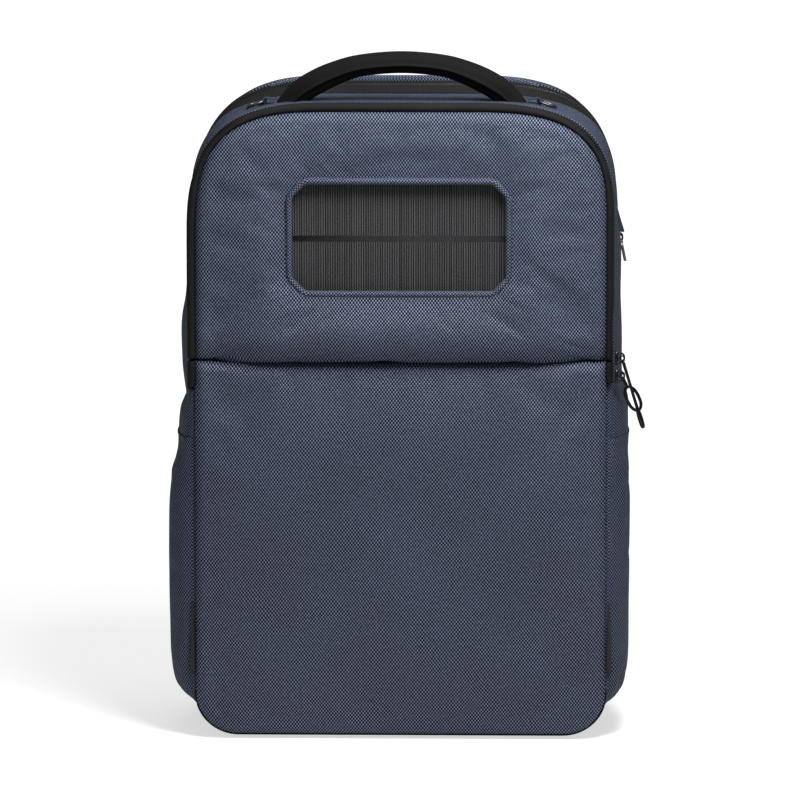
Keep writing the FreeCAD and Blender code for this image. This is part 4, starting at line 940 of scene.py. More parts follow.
def lower_panel():
    """The padded lower front panel, with a rounded edge and a crisp upper fold."""
    outline = pack_outline(2 * (SHELL_HALF - EDGE_IN), 2.0, LID_HIGH[2], 30)
    low, high = 2.0, CREASE_Z - 0.25
    marks = np.array(EDGE_MARKS)
    z_marks = np.r_[low + marks, np.arange(low + 14.5, high - 14, 4.6), (high - marks)[::-1]]
    flat = face_points(outline, z_marks, EDGE_MARKS)
    points = flat.reshape(-1, 2)
    border = cut_at(outline, high, False)
    from_border = distance_to(points, border)
    from_top = high - points[:, 1]
    height = edge_round(from_border, 8) * edge_round(from_top, 10)
    crown = step_between(5, 70, from_border) * step_between(0, 60, from_top) * 2.6
    depth = (SEAM_Y - FRONT_Y) * height + crown
    depth -= dent_depth(points, LOWER_DENTS) * step_between(2, 14, from_border)
    obj = flat_sheet("lower_panel_cover", flat, SEAM_Y - depth, BALLISTIC)
    held = 1 - step_between(2, 16, from_border) * step_between(1, 12, from_top)
    simulate(face_outward(obj, (0, 0, 130)), held, 2.0, 4.0, growth=0.010, bending=2.0)
    thicken(obj, PANEL_THICK, LINING)
    smooth_more(obj)
    return finish(obj, "pack_body", "navy_fabric", "lower_front_panel")


def panel_backs():
    """The linings behind both front panels: quilted, slightly hollow sheets."""
    for name, node, body in (
        ("lid_inner_cover", "upper_front_lining", "front_lid"),
        ("lower_inner_cover", "lower_front_lining", "pack_body"),
    ):
        low, high = cad_box(node)
        half = SHELL_HALF - EDGE_IN - 0.5
        outline = pack_outline(2 * half, LOWER_LOW[2], LID_HIGH[2] - 0.5, 31)
        z_marks = np.linspace(low[2] + 0.5, high[2] - 0.8, int((high[2] - low[2]) / 6))
        flat = face_points(outline, z_marks, (0, 2, 5))
        points = flat.reshape(-1, 2)
        puff = 0.5 * np.cos(points[:, 0] / 24 * math.pi) * np.cos(points[:, 1] / 24 * math.pi)
        y = (low[1] + high[1]) / 2 + 0.4 * puff
        obj = flat_sheet(name, flat, y, LINING)
        face_outward(obj, (0, 200, 200))
        thicken(obj, 0.7, offset=0.0)
        finish(obj, body, "lining_fabric", node)


def crease_shade_fold():
    """The hidden fabric fold that joins the two front panels; its black cloth is painted shade in the
    crease's groove.
    """
    half = SHELL_HALF - EDGE_IN - 1.5
    xs = np.linspace(-half, half, 60)
    profile = [
        (SEAM_Y - 0.2, CREASE_Z - 7),
        (SEAM_Y - 0.8, CREASE_Z - 3.5),
        (SEAM_Y - 1.8, CREASE_Z - 1.4),
        (SEAM_Y - 2.2, CREASE_Z),
        (SEAM_Y - 1.8, CREASE_Z + 1.4),
        (SEAM_Y - 0.8, CREASE_Z + 3.5),
        (SEAM_Y - 0.2, CREASE_Z + 7),
    ]
    rows = [[(x, y, z) for x in xs] for y, z in profile]
    # The black cloth is painted shade: it makes the narrow groove of the crease read dark.
    obj = grid_object("crease_shade_fold", rows, xs, section_lengths(profile, False), DARK_CLOTH)
    face_outward(obj, (0, 0, CREASE_Z))
    thicken(obj, 0.8)
    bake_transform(obj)
    return obj


# ---------------------------------------------------------------- solar window


def window_rim():
    """The rolled fabric rim round the window."""
    line = octagon_line(WINDOW_WIDE, WINDOW_TALL, WINDOW_CUT, 1.6)
    path, marks = resample(line, 1.6, True)
    section = [
        (-0.2, FRONT_Y + 3.8),
        (-0.3, FRONT_Y + 0.2),
        (-0.1, FRONT_Y - 1.6),
        (0.7, FRONT_Y - 2.8),
        (2.0, FRONT_Y - 3.3),
        (3.4, FRONT_Y - 2.9),
        (4.3, FRONT_Y - 1.5),
        (4.6, FRONT_Y + 0.4),
        (4.4, FRONT_Y + 3.8),
    ]
    obj = sweep("window_rim", path, marks, section, BALLISTIC, closed_path=True)
    face_outward(obj)
    smooth_more(obj)
    return finish(obj, "front_lid", "navy_fabric", "window_trim")


RIB_COUNT = 88


def solar_cells():
    """Two rows of ribbed cells, modelled as fluted sheets, and the plain busbar."""
    low, high = cad_box("solar_cells")
    middle_y = (low[1] + high[1]) / 2
    xs = np.linspace(low[0] - 1.5, high[0] + 0.6, RIB_COUNT * 4 + 1)
    pitch = (xs[-1] - xs[0]) / RIB_COUNT
    flute = 0.06 * np.cos((xs - xs[0]) / pitch * 2 * math.pi)
    for name, z_low, z_high, node in (
        ("lower_cell_row", low[2] - 0.6, WINDOW_Z - 3.5, "solar_cells"),
        ("upper_cell_row", WINDOW_Z + 0.8, high[2] + 1.6, None),
    ):
        zs = np.r_[z_low, z_low + 0.12, np.linspace(z_low + 2, z_high - 2, 4), z_high - 0.12, z_high]
        front = [[(x, middle_y - 0.2 + f, z) for x, f in zip(xs, flute)] for z in zs]
        obj = grid_object(name, front, xs, zs, CELL)
        face_outward(obj, (0, 0, WINDOW_Z))
        thicken(obj, 0.3)
        finish(obj, "front_lid", "solar_cell", *([node] if node else []))
    zs = WINDOW_Z + np.array((-4.5, -4.4, 1.7, 1.8))
    bar = [[(x, middle_y - 0.15, z) for x in (xs[0], xs[-1])] for z in zs]
    busbar = face_outward(grid_object("busbar_strip", bar, [0, 140], zs, BUSBAR), (0, 0, WINDOW_Z))
    finish(thicken(busbar, 0.25), "front_lid", "solar_cell", "cell_busbar")
    for node, material in (
        ("solar_back_sheet", LAMINATE),
        ("solar_front_sheet", FILM),
    ):
        dress(node, material)


def dress(node, material, bevel=0.0):
    """Gives a CAD node that stays in view its finished material, and softens its edges."""
    obj = frame["nodes"][node]
    obj.data.materials.clear()
    obj.data.materials.append(material)
    if bevel:
        soften_edges(obj, bevel)
    return obj


# ---------------------------------------------------------------- zippers


TOOTH_PITCH = 1.9
TOOTH_LONG, TOOTH_WIDE, TOOTH_TALL = 0.95, 2.0, 2.2


def zipper_teeth(name, path, y, outward, tall, body, node):
    """A row of coil turns along an outline, at y; outward(normals) is their place across it."""
    spots, _ = resample(path, TOOTH_PITCH, False)
    normals = outward_normals(spots, False)
    places = spots + normals * np.reshape(outward(normals), (-1, 1))
    side = np.array((0.0, 1.0, 0.0))
    outs = [np.array((x, 0, z)) for x, z in normals]
    frames = [(np.cross(side, out), side, out) for out in outs]
    centres = [(x, y, z) for x, z in places]
    obj = boxes(name, centres, frames, (TOOTH_LONG, TOOTH_WIDE, tall), COIL, taper=0.6)
    return finish(obj, body, "zipper_coil", node)


# Near the crease the band is drawn in this much; where it ends at the left and the right.
BAND_DRAW_IN = {-1: 0.2, 1: 1.2}
BAND_END_Z = {-1: ZIP_END_Z + 3.0, 1: ZIP_END_Z + 7.5}


def zipper_band():
    """The black band's section: outward of the shell's outline, and y."""
    front, rear = BAND_LOW[1], BAND_HIGH[1]
    return [
        (-5.9, rear),
        (-6.2, front + 4.5),
        (-6.0, front + 1.2),
        (-5.2, front - 0.4),
        (-3.2, front - 1.0),
        (-1.2, front - 0.1),
        (0.0, front + 2.0),
        (0.3, front + 5.0),
        (0.1, rear),
    ]


def main_zipper():
    """The black band round the front, its two coils and the narrow tape behind it."""
    full = shell_outline()
    lid_path = cut_at(full, CREASE_Z + 0.1, True)
    lid_even, lid_marks = resample(lid_path, 4.0, False)
    band = zipper_band()

    def band_section(points, normals):
        side, top = side_share(normals), top_share(normals)
        narrow = 1 - (2.0 * side * top + 0.1 * side * (points[:, 0] > 0))
        low = np.where(points[:, 0] < 0, BAND_DRAW_IN[-1], BAND_DRAW_IN[1])
        low = low * (1 - step_between(275, 320, points[:, 1]))
        offsets = [-6.0 + (out + 6.0) * narrow - low * (out > -4) for out, _ in band]
        return offsets, [np.full(len(points), y) for _, y in band]

    tape = sweep("lid_zip_band", lid_even, lid_marks, band_section, TAPE)
    finish(smooth_more(face_outward(tape)), "front_lid", "black_webbing", "lid_zipper_tape")
    pack_path = cut_at(full, ZIP_END_Z + 11, True)
    pack_even, pack_marks = resample(pack_path, 4.0, False)
    for owner, coil_path, nudge, body in (
        ("lid", lid_path, 0.1, "front_lid"),
        ("pack", pack_path, -0.1, "pack_body"),
    ):
        node = f"{owner}_zipper_coil"
        y = np.mean([corner[1] for corner in cad_box(node)]) + nudge
        zipper_teeth(f"{owner}_zip_coil", coil_path, y, lambda _: -2.4, TOOTH_TALL, body, node)
    tape_low, tape_high = cad_box("pack_zipper_tape")
    strip = rounded_bar(-5.4, -0.9, tape_low[1], tape_high[1] + 1.4, 0.9)
    inner_tape = sweep("pack_zip_tape", pack_even, pack_marks, strip, TAPE)
    finish(face_outward(inner_tape), "pack_body", "black_webbing", "pack_zipper_tape")


def zipper_ends():
    """The ends of the band: they run on a little below the crease and are cut at an angle."""
    band = zipper_band()
    pieces = []
    for _, side in SIDES:
        rows = []
        for out, y in band:
            share = 0.9 if side > 0 else 1.0
            x = side * (SHELL_HALF - 6.0 + (out + 6.0) * share - BAND_DRAW_IN[side] * (out > -4))
            foot = BAND_END_Z[side] - 0.5 * out
            rows.append([(x, y, z) for z in (CREASE_Z - 0.1, CREASE_Z - 5, foot + 5, foot + 1.0, foot)])
        us = [0, 5, 14, 20, 22]
        part = grid_object(
            "part", rows, us, section_lengths(band, True), TAPE, closed_rows=True, caps=True
        )
        pieces.append(face_outward(part))
    ends = join("zip_end_tapes", pieces)
    finish(smooth_more(ends), "pack_body", "black_webbing", "zipper_end_tapes")


def join(name, pieces):
    """Joins meshes into one object."""
    mesh = bmesh.new()
    for piece in pieces:
        mesh.from_mesh(piece.data)
    material = pieces[0].data.materials[0]
    data = bpy.data.meshes.new(name)
    mesh.to_mesh(data)
    mesh.free()
    for piece in pieces:
        bpy.data.objects.remove(piece)
    data.materials.clear()
    data.materials.append(material)
    obj = bpy.data.objects.new(name, data)
    bpy.context.scene.collection.objects.link(obj)
    return obj


# ---------------------------------------------------------------- gussets


# How far the side wall puffs out beyond a straight line, by height: it is hidden behind the
# pockets, swells above their mouths, pinches at the zipper's end and fades upward.
PUFF_HEIGHTS = (0, 150, 188, 203, 214, 222, 230, 237, 241, 248, 260, 287, 298, 310, 330, 350, 370, 400)
PUFF_LEFT = (3, 4, 6.6, 8.2, 8.8, 8.4, 7.4, 4.4, 0.8, 2.4, 4.2, 4.6, 4.0, 1.6, 0.0, 0, 0, 0)
PUFF_RIGHT = (3, 5, 8, 10.0, 10.4, 10.3, 10.0, 9.2, 7.6, 4.8, 3.8, 3.6, 3.5, 3.4, 3.2, 3.0, 2.0, 0.6)
TOP_SAG = 0.8
FOOT_TUCK = 4.2
CORNER_PUFF = 2.6


def wall_puff(side, heights):
    """The wall's puff at the left (side -1) or right (side 1), by height."""
    return np.interp(heights, PUFF_HEIGHTS, PUFF_RIGHT if side > 0 else PUFF_LEFT)


def wall_swell(v):
    """How the puff is spread from the front seam (v 0) to the rear seam (v 1)."""
    return math.sin(math.pi * v) ** 0.6


def main_gusset():
    """The soft wall round the main compartment, one closed sleeve of side fabric."""
    path, marks = resample(shell_outline(0.3), 5.0, True)
    steps = np.linspace(0, 1, 19)

    def section(points, normals):
        above = step_between(ZIP_END_Z - 6, ZIP_END_Z + 3, points[:, 1])
        front = SEAM_Y + 1 + (WALL_FRONT_Y + 0.6 - SEAM_Y - 1) * above
        rear = STEP_REAR_Y - 0.3 + (WALL_REAR_Y - STEP_REAR_Y + 0.3) * above
        side, top = side_share(normals), top_share(normals)
        puff = np.where(points[:, 0] > 0, wall_puff(1, points[:, 1]), wall_puff(-1, points[:, 1]))
        centre = np.exp(-((points[:, 0] / 62) ** 2))
        offsets, ys = [], []
        for v in steps:
            swell = wall_swell(v)
            ripple = np.sin(points[:, 1] / 13 + v * 5) * np.sin(points[:, 1] / 31 + 1.3)
            free = step_between(225, 250, points[:, 1])
            out = 2.0 * v * (1 - top**2) - 0.6 * v * top**2
            out = out + side * swell * (puff + 0.5 * ripple * free) - top * swell * TOP_SAG * centre
            out += 4 * side * top * (CORNER_PUFF * swell + 0.4 * v)
            offsets.append(out - FOOT_TUCK * (1 - step_between(14, 46, points[:, 1])))
            ys.append(front + (rear - front) * v)
        return offsets, ys

    obj = sweep(
        "main_gusset_cover", path, marks, section, WALL_CLOTH, closed_path=True, closed_section=False
    )
    face_outward(obj, (0, -20, 220))
    column = len(path)
    held = np.array([1 - step_between(0, 0.16, min(v, 1 - v)) for v in steps]).repeat(column)
    low_part = 1 - step_between(222, 240, np.tile(path[:, 1], len(steps)))
    high_part = step_between(330, 400, np.tile(path[:, 1], len(steps)))
    held = np.maximum(held, np.maximum(low_part, high_part * 0.5))
    simulate(obj, held, 0.9, 1.6, growth=0.014, bending=0.6)
    thicken(obj, WALL_THICK, LINING)
    smooth_more(obj)
    return finish(obj, "pack_body", "navy_side_fabric", "zipper_gusset", "lower_gusset")


FOOT_SEAM_Z = 24.0


def lower_seam():
    """The rolled seam between the lower front panel and the side wall, bound at the foot."""
    section = [
        (-6.4, SEAM_Y + 0.6),
        (-6.3, SEAM_Y - 0.7),
        (-4.6, SEAM_Y - 1.9),
        (-2.6, SEAM_Y - 1.6),
        (-0.9, SEAM_Y - 0.2),
        (0.0, SEAM_Y + 2.4),
        (-1.4, SEAM_Y + 3.4),
    ]
    for side_name, side in SIDES:
        heights = (FOOT_SEAM_Z + 8, BAND_END_Z[side] + 1.5)
        line = np.array([(side * SHELL_HALF, z) for z in (heights if side > 0 else heights[::-1])])
        path, marks = resample(line, 4.0, False)
        obj = sweep(f"{side_name}_seam_roll", path, marks, section, WALL_CLOTH)
        finish(smooth_more(face_outward(obj)), "pack_body", "navy_side_fabric")
    outline = pack_outline(2 * (SHELL_HALF - EDGE_IN), 2.0, LID_HIGH[2], 30)
    foot, marks = resample(cut_at(outline, FOOT_SEAM_Z, False), 3.0, False)
    bar = rounded_bar(-1.6, 1.1, SEAM_Y - 2.6, SEAM_Y + 1.6, 1.1)
    obj = sweep("foot_binding", foot, marks, bar, DARK_CLOTH)
    finish(smooth_more(face_outward(obj)), "pack_body", "black_webbing", "front_seam_binding")


def laptop_band():
    """The wide black band on the step at the rear: two tapes and the coil between them."""
    path, marks = resample(cut_at(shell_outline(), ZIP_END_Z, True), 4.5, False)
    y_front, y_rear = WALL_REAR_Y - 0.6, STEP_REAR_Y + 2.0

    def lift_at(v, normals):
        side, top = side_share(normals), top_share(normals)
        front = 2.0 - 2.6 * top**2 + 2.0 * side * top
        rear = rear_offset(normals, 0.0) - 0.2 * top
        return front + (rear - front) * v

    def band(v_low, v_high):
        def section(points, normals):
            line = []
            for v in np.linspace(v_low, v_high, 5):
                line.append((lift_at(v, normals), y_front + (y_rear - y_front) * v))
            inner = [(lift - 1.1, y) for lift, y in line[::-1]]
            offsets = [lift for lift, _ in line + inner]
            return offsets, [np.full(len(points), y) for _, y in line + inner]

        return section

    for name, v_low, v_high, node in (
        ("laptop_front_tape", 0.0, 0.60, "laptop_zipper_front_tape"),
        ("laptop_rear_tape", 0.70, 1.0, "laptop_zipper_rear_tape"),
    ):
        obj = sweep(name, path, marks, band(v_low, v_high), TAPE)
        finish(smooth_more(face_outward(obj)), "pack_body", "black_webbing", node)

    def coil_lift(normals):
        return lift_at(coil_v, normals) - 0.6

    coil_v, coil_tall = 0.65, 1.2
    coil_y = y_front + (y_rear - y_front) * coil_v
    node = "laptop_zipper_coil"
    zipper_teeth("laptop_zip_coil", path, coil_y, coil_lift, coil_tall, "pack_body", node)


def rear_gusset():
    """The firmer wall round the laptop compartment; its seam edge is made in rear_gusset_edge."""
    path, marks = resample(shell_outline(), 5.0, True)
    steps = np.linspace(0, 1, 9)

    def section(points, normals):
        offsets, ys = [], []
        side = side_share(normals)
        for v in steps:
            swell = math.sin(math.pi * v)
            ripple = np.sin(points[:, 1] / 17 + 2 * v) * np.sin(points[:, 0] / 29 + 0.7)
            foot = 2.5 * (1 - step_between(14, 46, points[:, 1]))
            dip = 6.0 * side * top_share(normals)
            offsets.append(rear_offset(normals, v) + swell * (0.5 * side + 0.3 * ripple) - foot - dip)
            ys.append(np.full(len(points), STEP_REAR_Y + (REAR_HIGH[1] - STEP_REAR_Y) * v))
        return offsets, ys

    obj = sweep(
        "laptop_gusset_cover", path, marks, section, WALL_CLOTH, closed_path=True, closed_section=False
    )
    face_outward(obj, (0, 50, 220))
    held = np.array([1 - step_between(0, 0.3, min(v, 1 - v)) for v in steps]).repeat(len(path))
    simulate(obj, held, 0.8, 0.8, growth=0.008, bending=1.5)
    thicken(obj, WALL_THICK, LINING)
    smooth_more(obj)
    finish(obj, "pack_body", "navy_side_fabric", "laptop_gusset")


def rear_gusset_edge():
    """The turned edge of coarse weave that stands up along the middle of the top."""
    path, marks = resample(cut_at(shell_outline(), ZIP_END_Z, True), 4.5, False)

    def section(points, normals):
        stands = 1.7 * (1 - step_between(62, 112, np.abs(points[:, 0]))) * top_share(normals)
        base = rear_offset(normals, 0.0)
        sink = 5.0 * step_between(84, 110, np.abs(points[:, 0]))
        offsets, ys = [], []
        for out, y in rounded_bar(-3.0, 0.2, STEP_REAR_Y - 0.4, STEP_REAR_Y + 2.6, 1.2):
            offsets.append(base + out + (stands if out > -1.5 else 0) - sink)
            ys.append(np.full(len(points), y))
        return offsets, ys

    edge = sweep("laptop_gusset_edge", path, marks, section, BALLISTIC)
    finish(smooth_more(face_outward(edge)), "pack_body", "navy_side_fabric")


def main_lining():
    """The loose lining sleeve of the main compartment."""
    low, high = cad_box("main_lining")
    path, marks = resample(pack_outline(high[0] - low[0] - 14, low[2] + 4, high[2] - 6), 7.0, True)
    steps = np.linspace(0, 1, 9)

    def section(points, normals):
        offsets, ys = [], []
        for v in steps:
            ripple = np.sin(points[:, 1] / 11 + 4 * v) * np.sin(points[:, 0] / 19 + 1 + v)
            offsets.append(-0.6 - 0.5 * ripple * math.sin(math.pi * v))
            ys.append(np.full(len(points), low[1] + 0.5 + (high[1] - low[1] - 0.7) * v))
        return offsets, ys

    obj = sweep(
        "main_lining_cover", path, marks, section, LINING, closed_path=True, closed_section=False
    )
    face_outward(obj, (0, -20, 220))
    thicken(obj, 0.6)
    finish(obj, "pack_body", "lining_fabric", "main_lining")


def divider():
    """The padded divider between the two compartments."""
    low, high = cad_box("divider_panel")
    outline = pack_outline(high[0] - low[0] - 2, low[2] + 1, high[2] - 1)
    marks = np.array((0, 0.8, 2.2, 4.2, 7))
    middle_marks = np.arange(low[2] + 15, high[2] - 14, 7)
    z_marks = np.r_[low[2] + 1 + marks, middle_marks, (high[2] - 1 - marks)[::-1]]
    flat = face_points(outline, z_marks, marks, 7)
    points = flat.reshape(-1, 2)
    border = np.vstack([outline, outline[:1]])
    puff = edge_round(distance_to(points, border), 6)
    middle = (low[1] + high[1]) / 2
    half = (high[1] - low[1]) / 2 - 0.2
    parts = []
    for side in (-1, 1):
        y = middle + side * (0.4 + (half - 0.4) * puff)
        parts.append(flat_sheet("part", flat, y, LINING))
    obj = join("divider_cover", parts)
    close_rim(obj)
    finish(obj, "pack_body", "lining_fabric", "divider_panel")


def close_rim(obj):
    """Bridges the open rims of two matching sheets into one closed form."""
    mesh = bmesh.new()
    mesh.from_mesh(obj.data)
    rims = [e for e in mesh.edges if e.is_boundary]
    bmesh.ops.bridge_loops(mesh, edges=rims)
    bmesh.ops.recalc_face_normals(mesh, faces=mesh.faces)
    for f in mesh.faces:
        f.smooth = True
    mesh.to_mesh(obj.data)
    mesh.free()


# ---------------------------------------------------------------- side pockets


# The pockets' reach from the centre, by height, and the pinched fold at their front foot,
# which is given by distance along the cloth from the front seam and by height.
POCKET_TOP = 213.5
POCKET_HEIGHTS = (20, 21, 22.5, 25, 29, 34, 39, 48, 59, 120, 160, 185, 198, 206, POCKET_TOP)
POCKET_LEFT = (
    140, 142, 145, 149.5, 155, 159.2, 161.8, 163.4, 164.2, 164.6, 164.4, 163.0, 161.6, 160.2, 159.4
)
POCKET_RIGHT = (
    140, 142, 145, 149.5, 154, 158, 159.6, 160.4, 160.8, 161.2, 161.2, 161.2, 161.2, 161, 160.6
)
POCKET_FRONT_Y = -75.6
POCKET_FRONT_ROUND, POCKET_REAR_ROUND = 25, 17
POCKET_FOLD = np.array(((2.0, 19.0), (9.0, 25.0), (13.5, 34.0), (14.5, 46.0)))


def pocket_line(reach, front_x, rear_x):
    """One level of a pocket: from the front seam round the corner, back and in again."""
    front_y, rear_y = POCKET_FRONT_Y, WALL_REAR_Y + 1
    front_round, rear_round = POCKET_FRONT_ROUND, POCKET_REAR_ROUND
    line = []
    for angle in np.radians((0, 6, 13, 21, 30, 40, 51, 63, 76, 90)):
        x = front_x + (reach - front_x) * math.sin(angle)
        line.append((x, front_y + front_round * (1 - math.cos(angle))))
    for y in np.linspace(front_y + front_round, rear_y - rear_round, 11)[1:-1]:
        line.append((reach, y))
    for angle in np.radians(np.linspace(0, 90, 8)):
        x = rear_x + (reach - rear_x) * math.cos(angle)
        line.append((x, rear_y - rear_round + rear_round * math.sin(angle)))
    return np.array(line)


def side_pockets():
    """The stretchy slip pockets: a bowed sheet gathered at its lower corners, with a hem."""
    near_foot = (20, 20.5, 21.4, 22.8, 24.6, 26.6, 29, 31.6, 34.6, 38.2)
    heights = np.r_[near_foot, np.linspace(42, 200, 38), 204, 208, 211, POCKET_TOP]
    shell = width_at(shell_outline(), heights)
    for side_name, side in SIDES:
        node = f"{side_name}_side_pocket"
        reaches = np.interp(heights, POCKET_HEIGHTS, POCKET_RIGHT if side > 0 else POCKET_LEFT)
        rows = []
        for z, reach, shell_x in zip(heights, reaches, shell):
            line = pocket_line(reach, min(147.4, shell_x - 4.5), min(154.6, shell_x + 1.6))
            along = section_lengths(line, False)
            free = step_between(0, 12, along) * step_between(0, 12, along[-1] - along)
            fold = 0.9 * np.sin(along / 9.0 + z / 60) * (1 - step_between(15, 130, z))
            gather = 0.6 * np.sin(along / 5.2 + 1.5 * math.sin(z / 40)) * step_between(110, 180, z)
            spots = np.stack([along, np.full(len(along), z)], axis=1)
            pinch = 3.2 * np.exp(-((distance_to(spots, POCKET_FOLD) / 2.6) ** 2))
            xs = line[:, 0] + (fold + gather) * free - pinch * 0.8
            # Toward its mouth the pocket lies against the wall.
            vs = np.clip((line[:, 1] - SEAM_Y - 1) / (STEP_REAR_Y - SEAM_Y - 1.3), 0, 1)
            wall = [SHELL_HALF + 0.3 + 2.0 * v + wall_puff(side, z) * wall_swell(v) for v in vs]
            snug = step_between(186, 211, z) * step_between(3, 14, along)
            xs = xs + (np.array(wall) - xs) * snug
            ys = line[:, 1] + pinch * 0.6
            rows.append([(side * x, y, z) for x, y in zip(xs, ys)])
        us = section_lengths(np.array(rows[20]), False)
        obj = grid_object(f"{node}_cover", rows, us, heights, WALL_CLOTH)
        face_outward(obj, (side * 120, -20, 100))
        z_all = heights.repeat(len(us))
        edge_all = np.tile(np.minimum(us, us[-1] - us), len(heights))
        held = 1 - step_between(1, 10, edge_all) * step_between(8, 26, z_all)
        held = np.maximum(held, step_between(180, 205, z_all))
        simulate(obj, held, 1.0, 1.1, growth=0.02, bending=0.35)
        mouth = points_of(obj).reshape(len(heights), len(us), 3)[-1]
        thicken(obj, POCKET_THICK, LINING)
        smooth_more(obj)
        finish(obj, "pack_body", "navy_side_fabric", node)
        hem_line = mouth[4:] + (-side * 0.3, 0, -1.2)
        hem = tube(f"{side_name}_pocket_hem", hem_line, 1.4, WALL_CLOTH, 10, flat=0.45, up=(1, 0, 0))
        finish(smooth_more(hem), "pack_body", "navy_side_fabric")
        pocket_insert(side_name, side)


def pocket_insert(side_name, side):
    """The dark elastic strip at a pocket's front seam, wide at its foot."""
    node = f"{side_name}_pocket_insert"
    low, high = cad_box(node)
    zs = np.linspace(low[2] + 3, high[2] + 6, 22)
    shares = np.linspace(0, 1, 22)
    spots = [(side * 147.6, POCKET_FRONT_Y - 1.3, z) for z in zs]
    width = 2.1 * np.minimum(1, (shares + 0.004) / 0.08) ** 0.5 * (1 - 0.75 * shares**1.5)
    obj = tube(f"{node}_cover", spots, width, ELASTIC, sides=12, flat=0.7, up=(0, 1, 0))
    finish(smooth_more(obj), "pack_body", "mesh_fabric", node)


# ---------------------------------------------------------------- base


def base():
    """The coated base: a crowned panel with a piped edge."""
    low, high = cad_box("base_panel")
    half_x, y0, y1 = high[0], low[1], high[1]
    xs = np.linspace(-half_x, half_x, 41)
    ys = np.linspace(y0 + 2, y1 + 2, 21)
    rows = []
    for y in ys:
        edge_y = min(y - ys[0], ys[-1] - y)
        line = []
        for x in xs:
            edge = min(edge_y, half_x - abs(x))
            lift = 1.9 * (1 - edge_round(edge, 9.0))
            line.append((x, y, 0.15 + float(lift)))
        rows.append(line)
    obj = grid_object("base_cover", rows, xs, ys, DARK_CLOTH)
    face_outward(obj, (0, 0, 100))
    thicken(obj, 1.4)
    smooth_more(obj)
    finish(obj, "pack_body", "black_webbing", "base_panel")
    corners = rounded_rectangle(half_x + 1.5, (y1 - y0) / 2 + 1, 9, 6)
    loop = [(x, y + (y0 + y1) / 2 + 1, 2.2) for x, y in corners]
    piping = tube("base_piping", loop, 1.7, DARK_CLOTH, sides=8, closed=True)
    finish(smooth_more(piping), "pack_body", "black_webbing")


def rounded_rectangle(half_x, half_y, radius, steps):
    """A rounded rectangle's points, anticlockwise from its lower right corner's arc."""
    points = []
    for sx, sy, start in ((1, -1, -90), (1, 1, 0), (-1, 1, 90), (-1, -1, 180)):
        for angle in np.radians(np.linspace(start, start + 90, steps)):
            x = sx * (half_x - radius) + radius * math.cos(angle)
            y = sy * (half_y - radius) + radius * math.sin(angle)
            points.append((x, y))
    dense, _ = resample(points, 4.0, True)
    return dense


# ---------------------------------------------------------------- back


def back_panel():
    """The padded back panel and its black edge binding."""
    outline = rear_outline(1.0, 0.8)
    low, high = float(outline[:, 1].min()), float(outline[:, 1].max())
    marks = np.array(EDGE_MARKS)
    z_marks = np.r_[low + marks, np.arange(low + 15, high - 14, 6.0), (high - marks)[::-1]]
    flat = face_points(outline, z_marks, EDGE_MARKS, 6.0)
    points = flat.reshape(-1, 2)
    border = np.vstack([outline, outline[:1]])
    inside = distance_to(points, border)
    puff = edge_round(inside, 7)
    channel = np.exp(-((points[:, 0] / 9) ** 2)) * step_between(60, 110, points[:, 1])
    y = BACK_LOW[1] - 0.4 + (BACK_HIGH[1] - BACK_LOW[1]) * puff - 0.8 * channel
    obj = flat_sheet("back_panel_cover", flat, y, SIDE_CLOTH)
    face_outward(obj, (0, 0, 220))
    thicken(obj, PANEL_THICK)
    smooth_more(obj)
    finish(obj, "pack_body", "navy_side_fabric", "back_panel")
    path, path_marks = resample(outline, 4.5, True)
    section = rounded_bar(-3.4, 0.6, BACK_LOW[1] - 1.6, BACK_LOW[1] + 2.4, 1.6)
    obj = sweep("back_binding", path, path_marks, section, TAPE, closed_path=True)
    finish(smooth_more(face_outward(obj)), "pack_body", "black_webbing")


def pillow(name, flat, depth_of, base_y, material, pressure, held_of, cap):
    """A pad on the back: a crowned sheet that rises from base_y by depth_of(points)."""
    points = flat.reshape(-1, 2)
    obj = flat_sheet(name, flat, base_y + depth_of(points), material)
    face_outward(obj, (float(np.mean(points[:, 0])), 0, float(np.mean(points[:, 1]))))
    simulate(obj, held_of(points), pressure, cap, growth=0.01, bending=0.8)
    thicken(obj, 1.5)
    return smooth_more(obj)


PAD_CHANNELS = 5


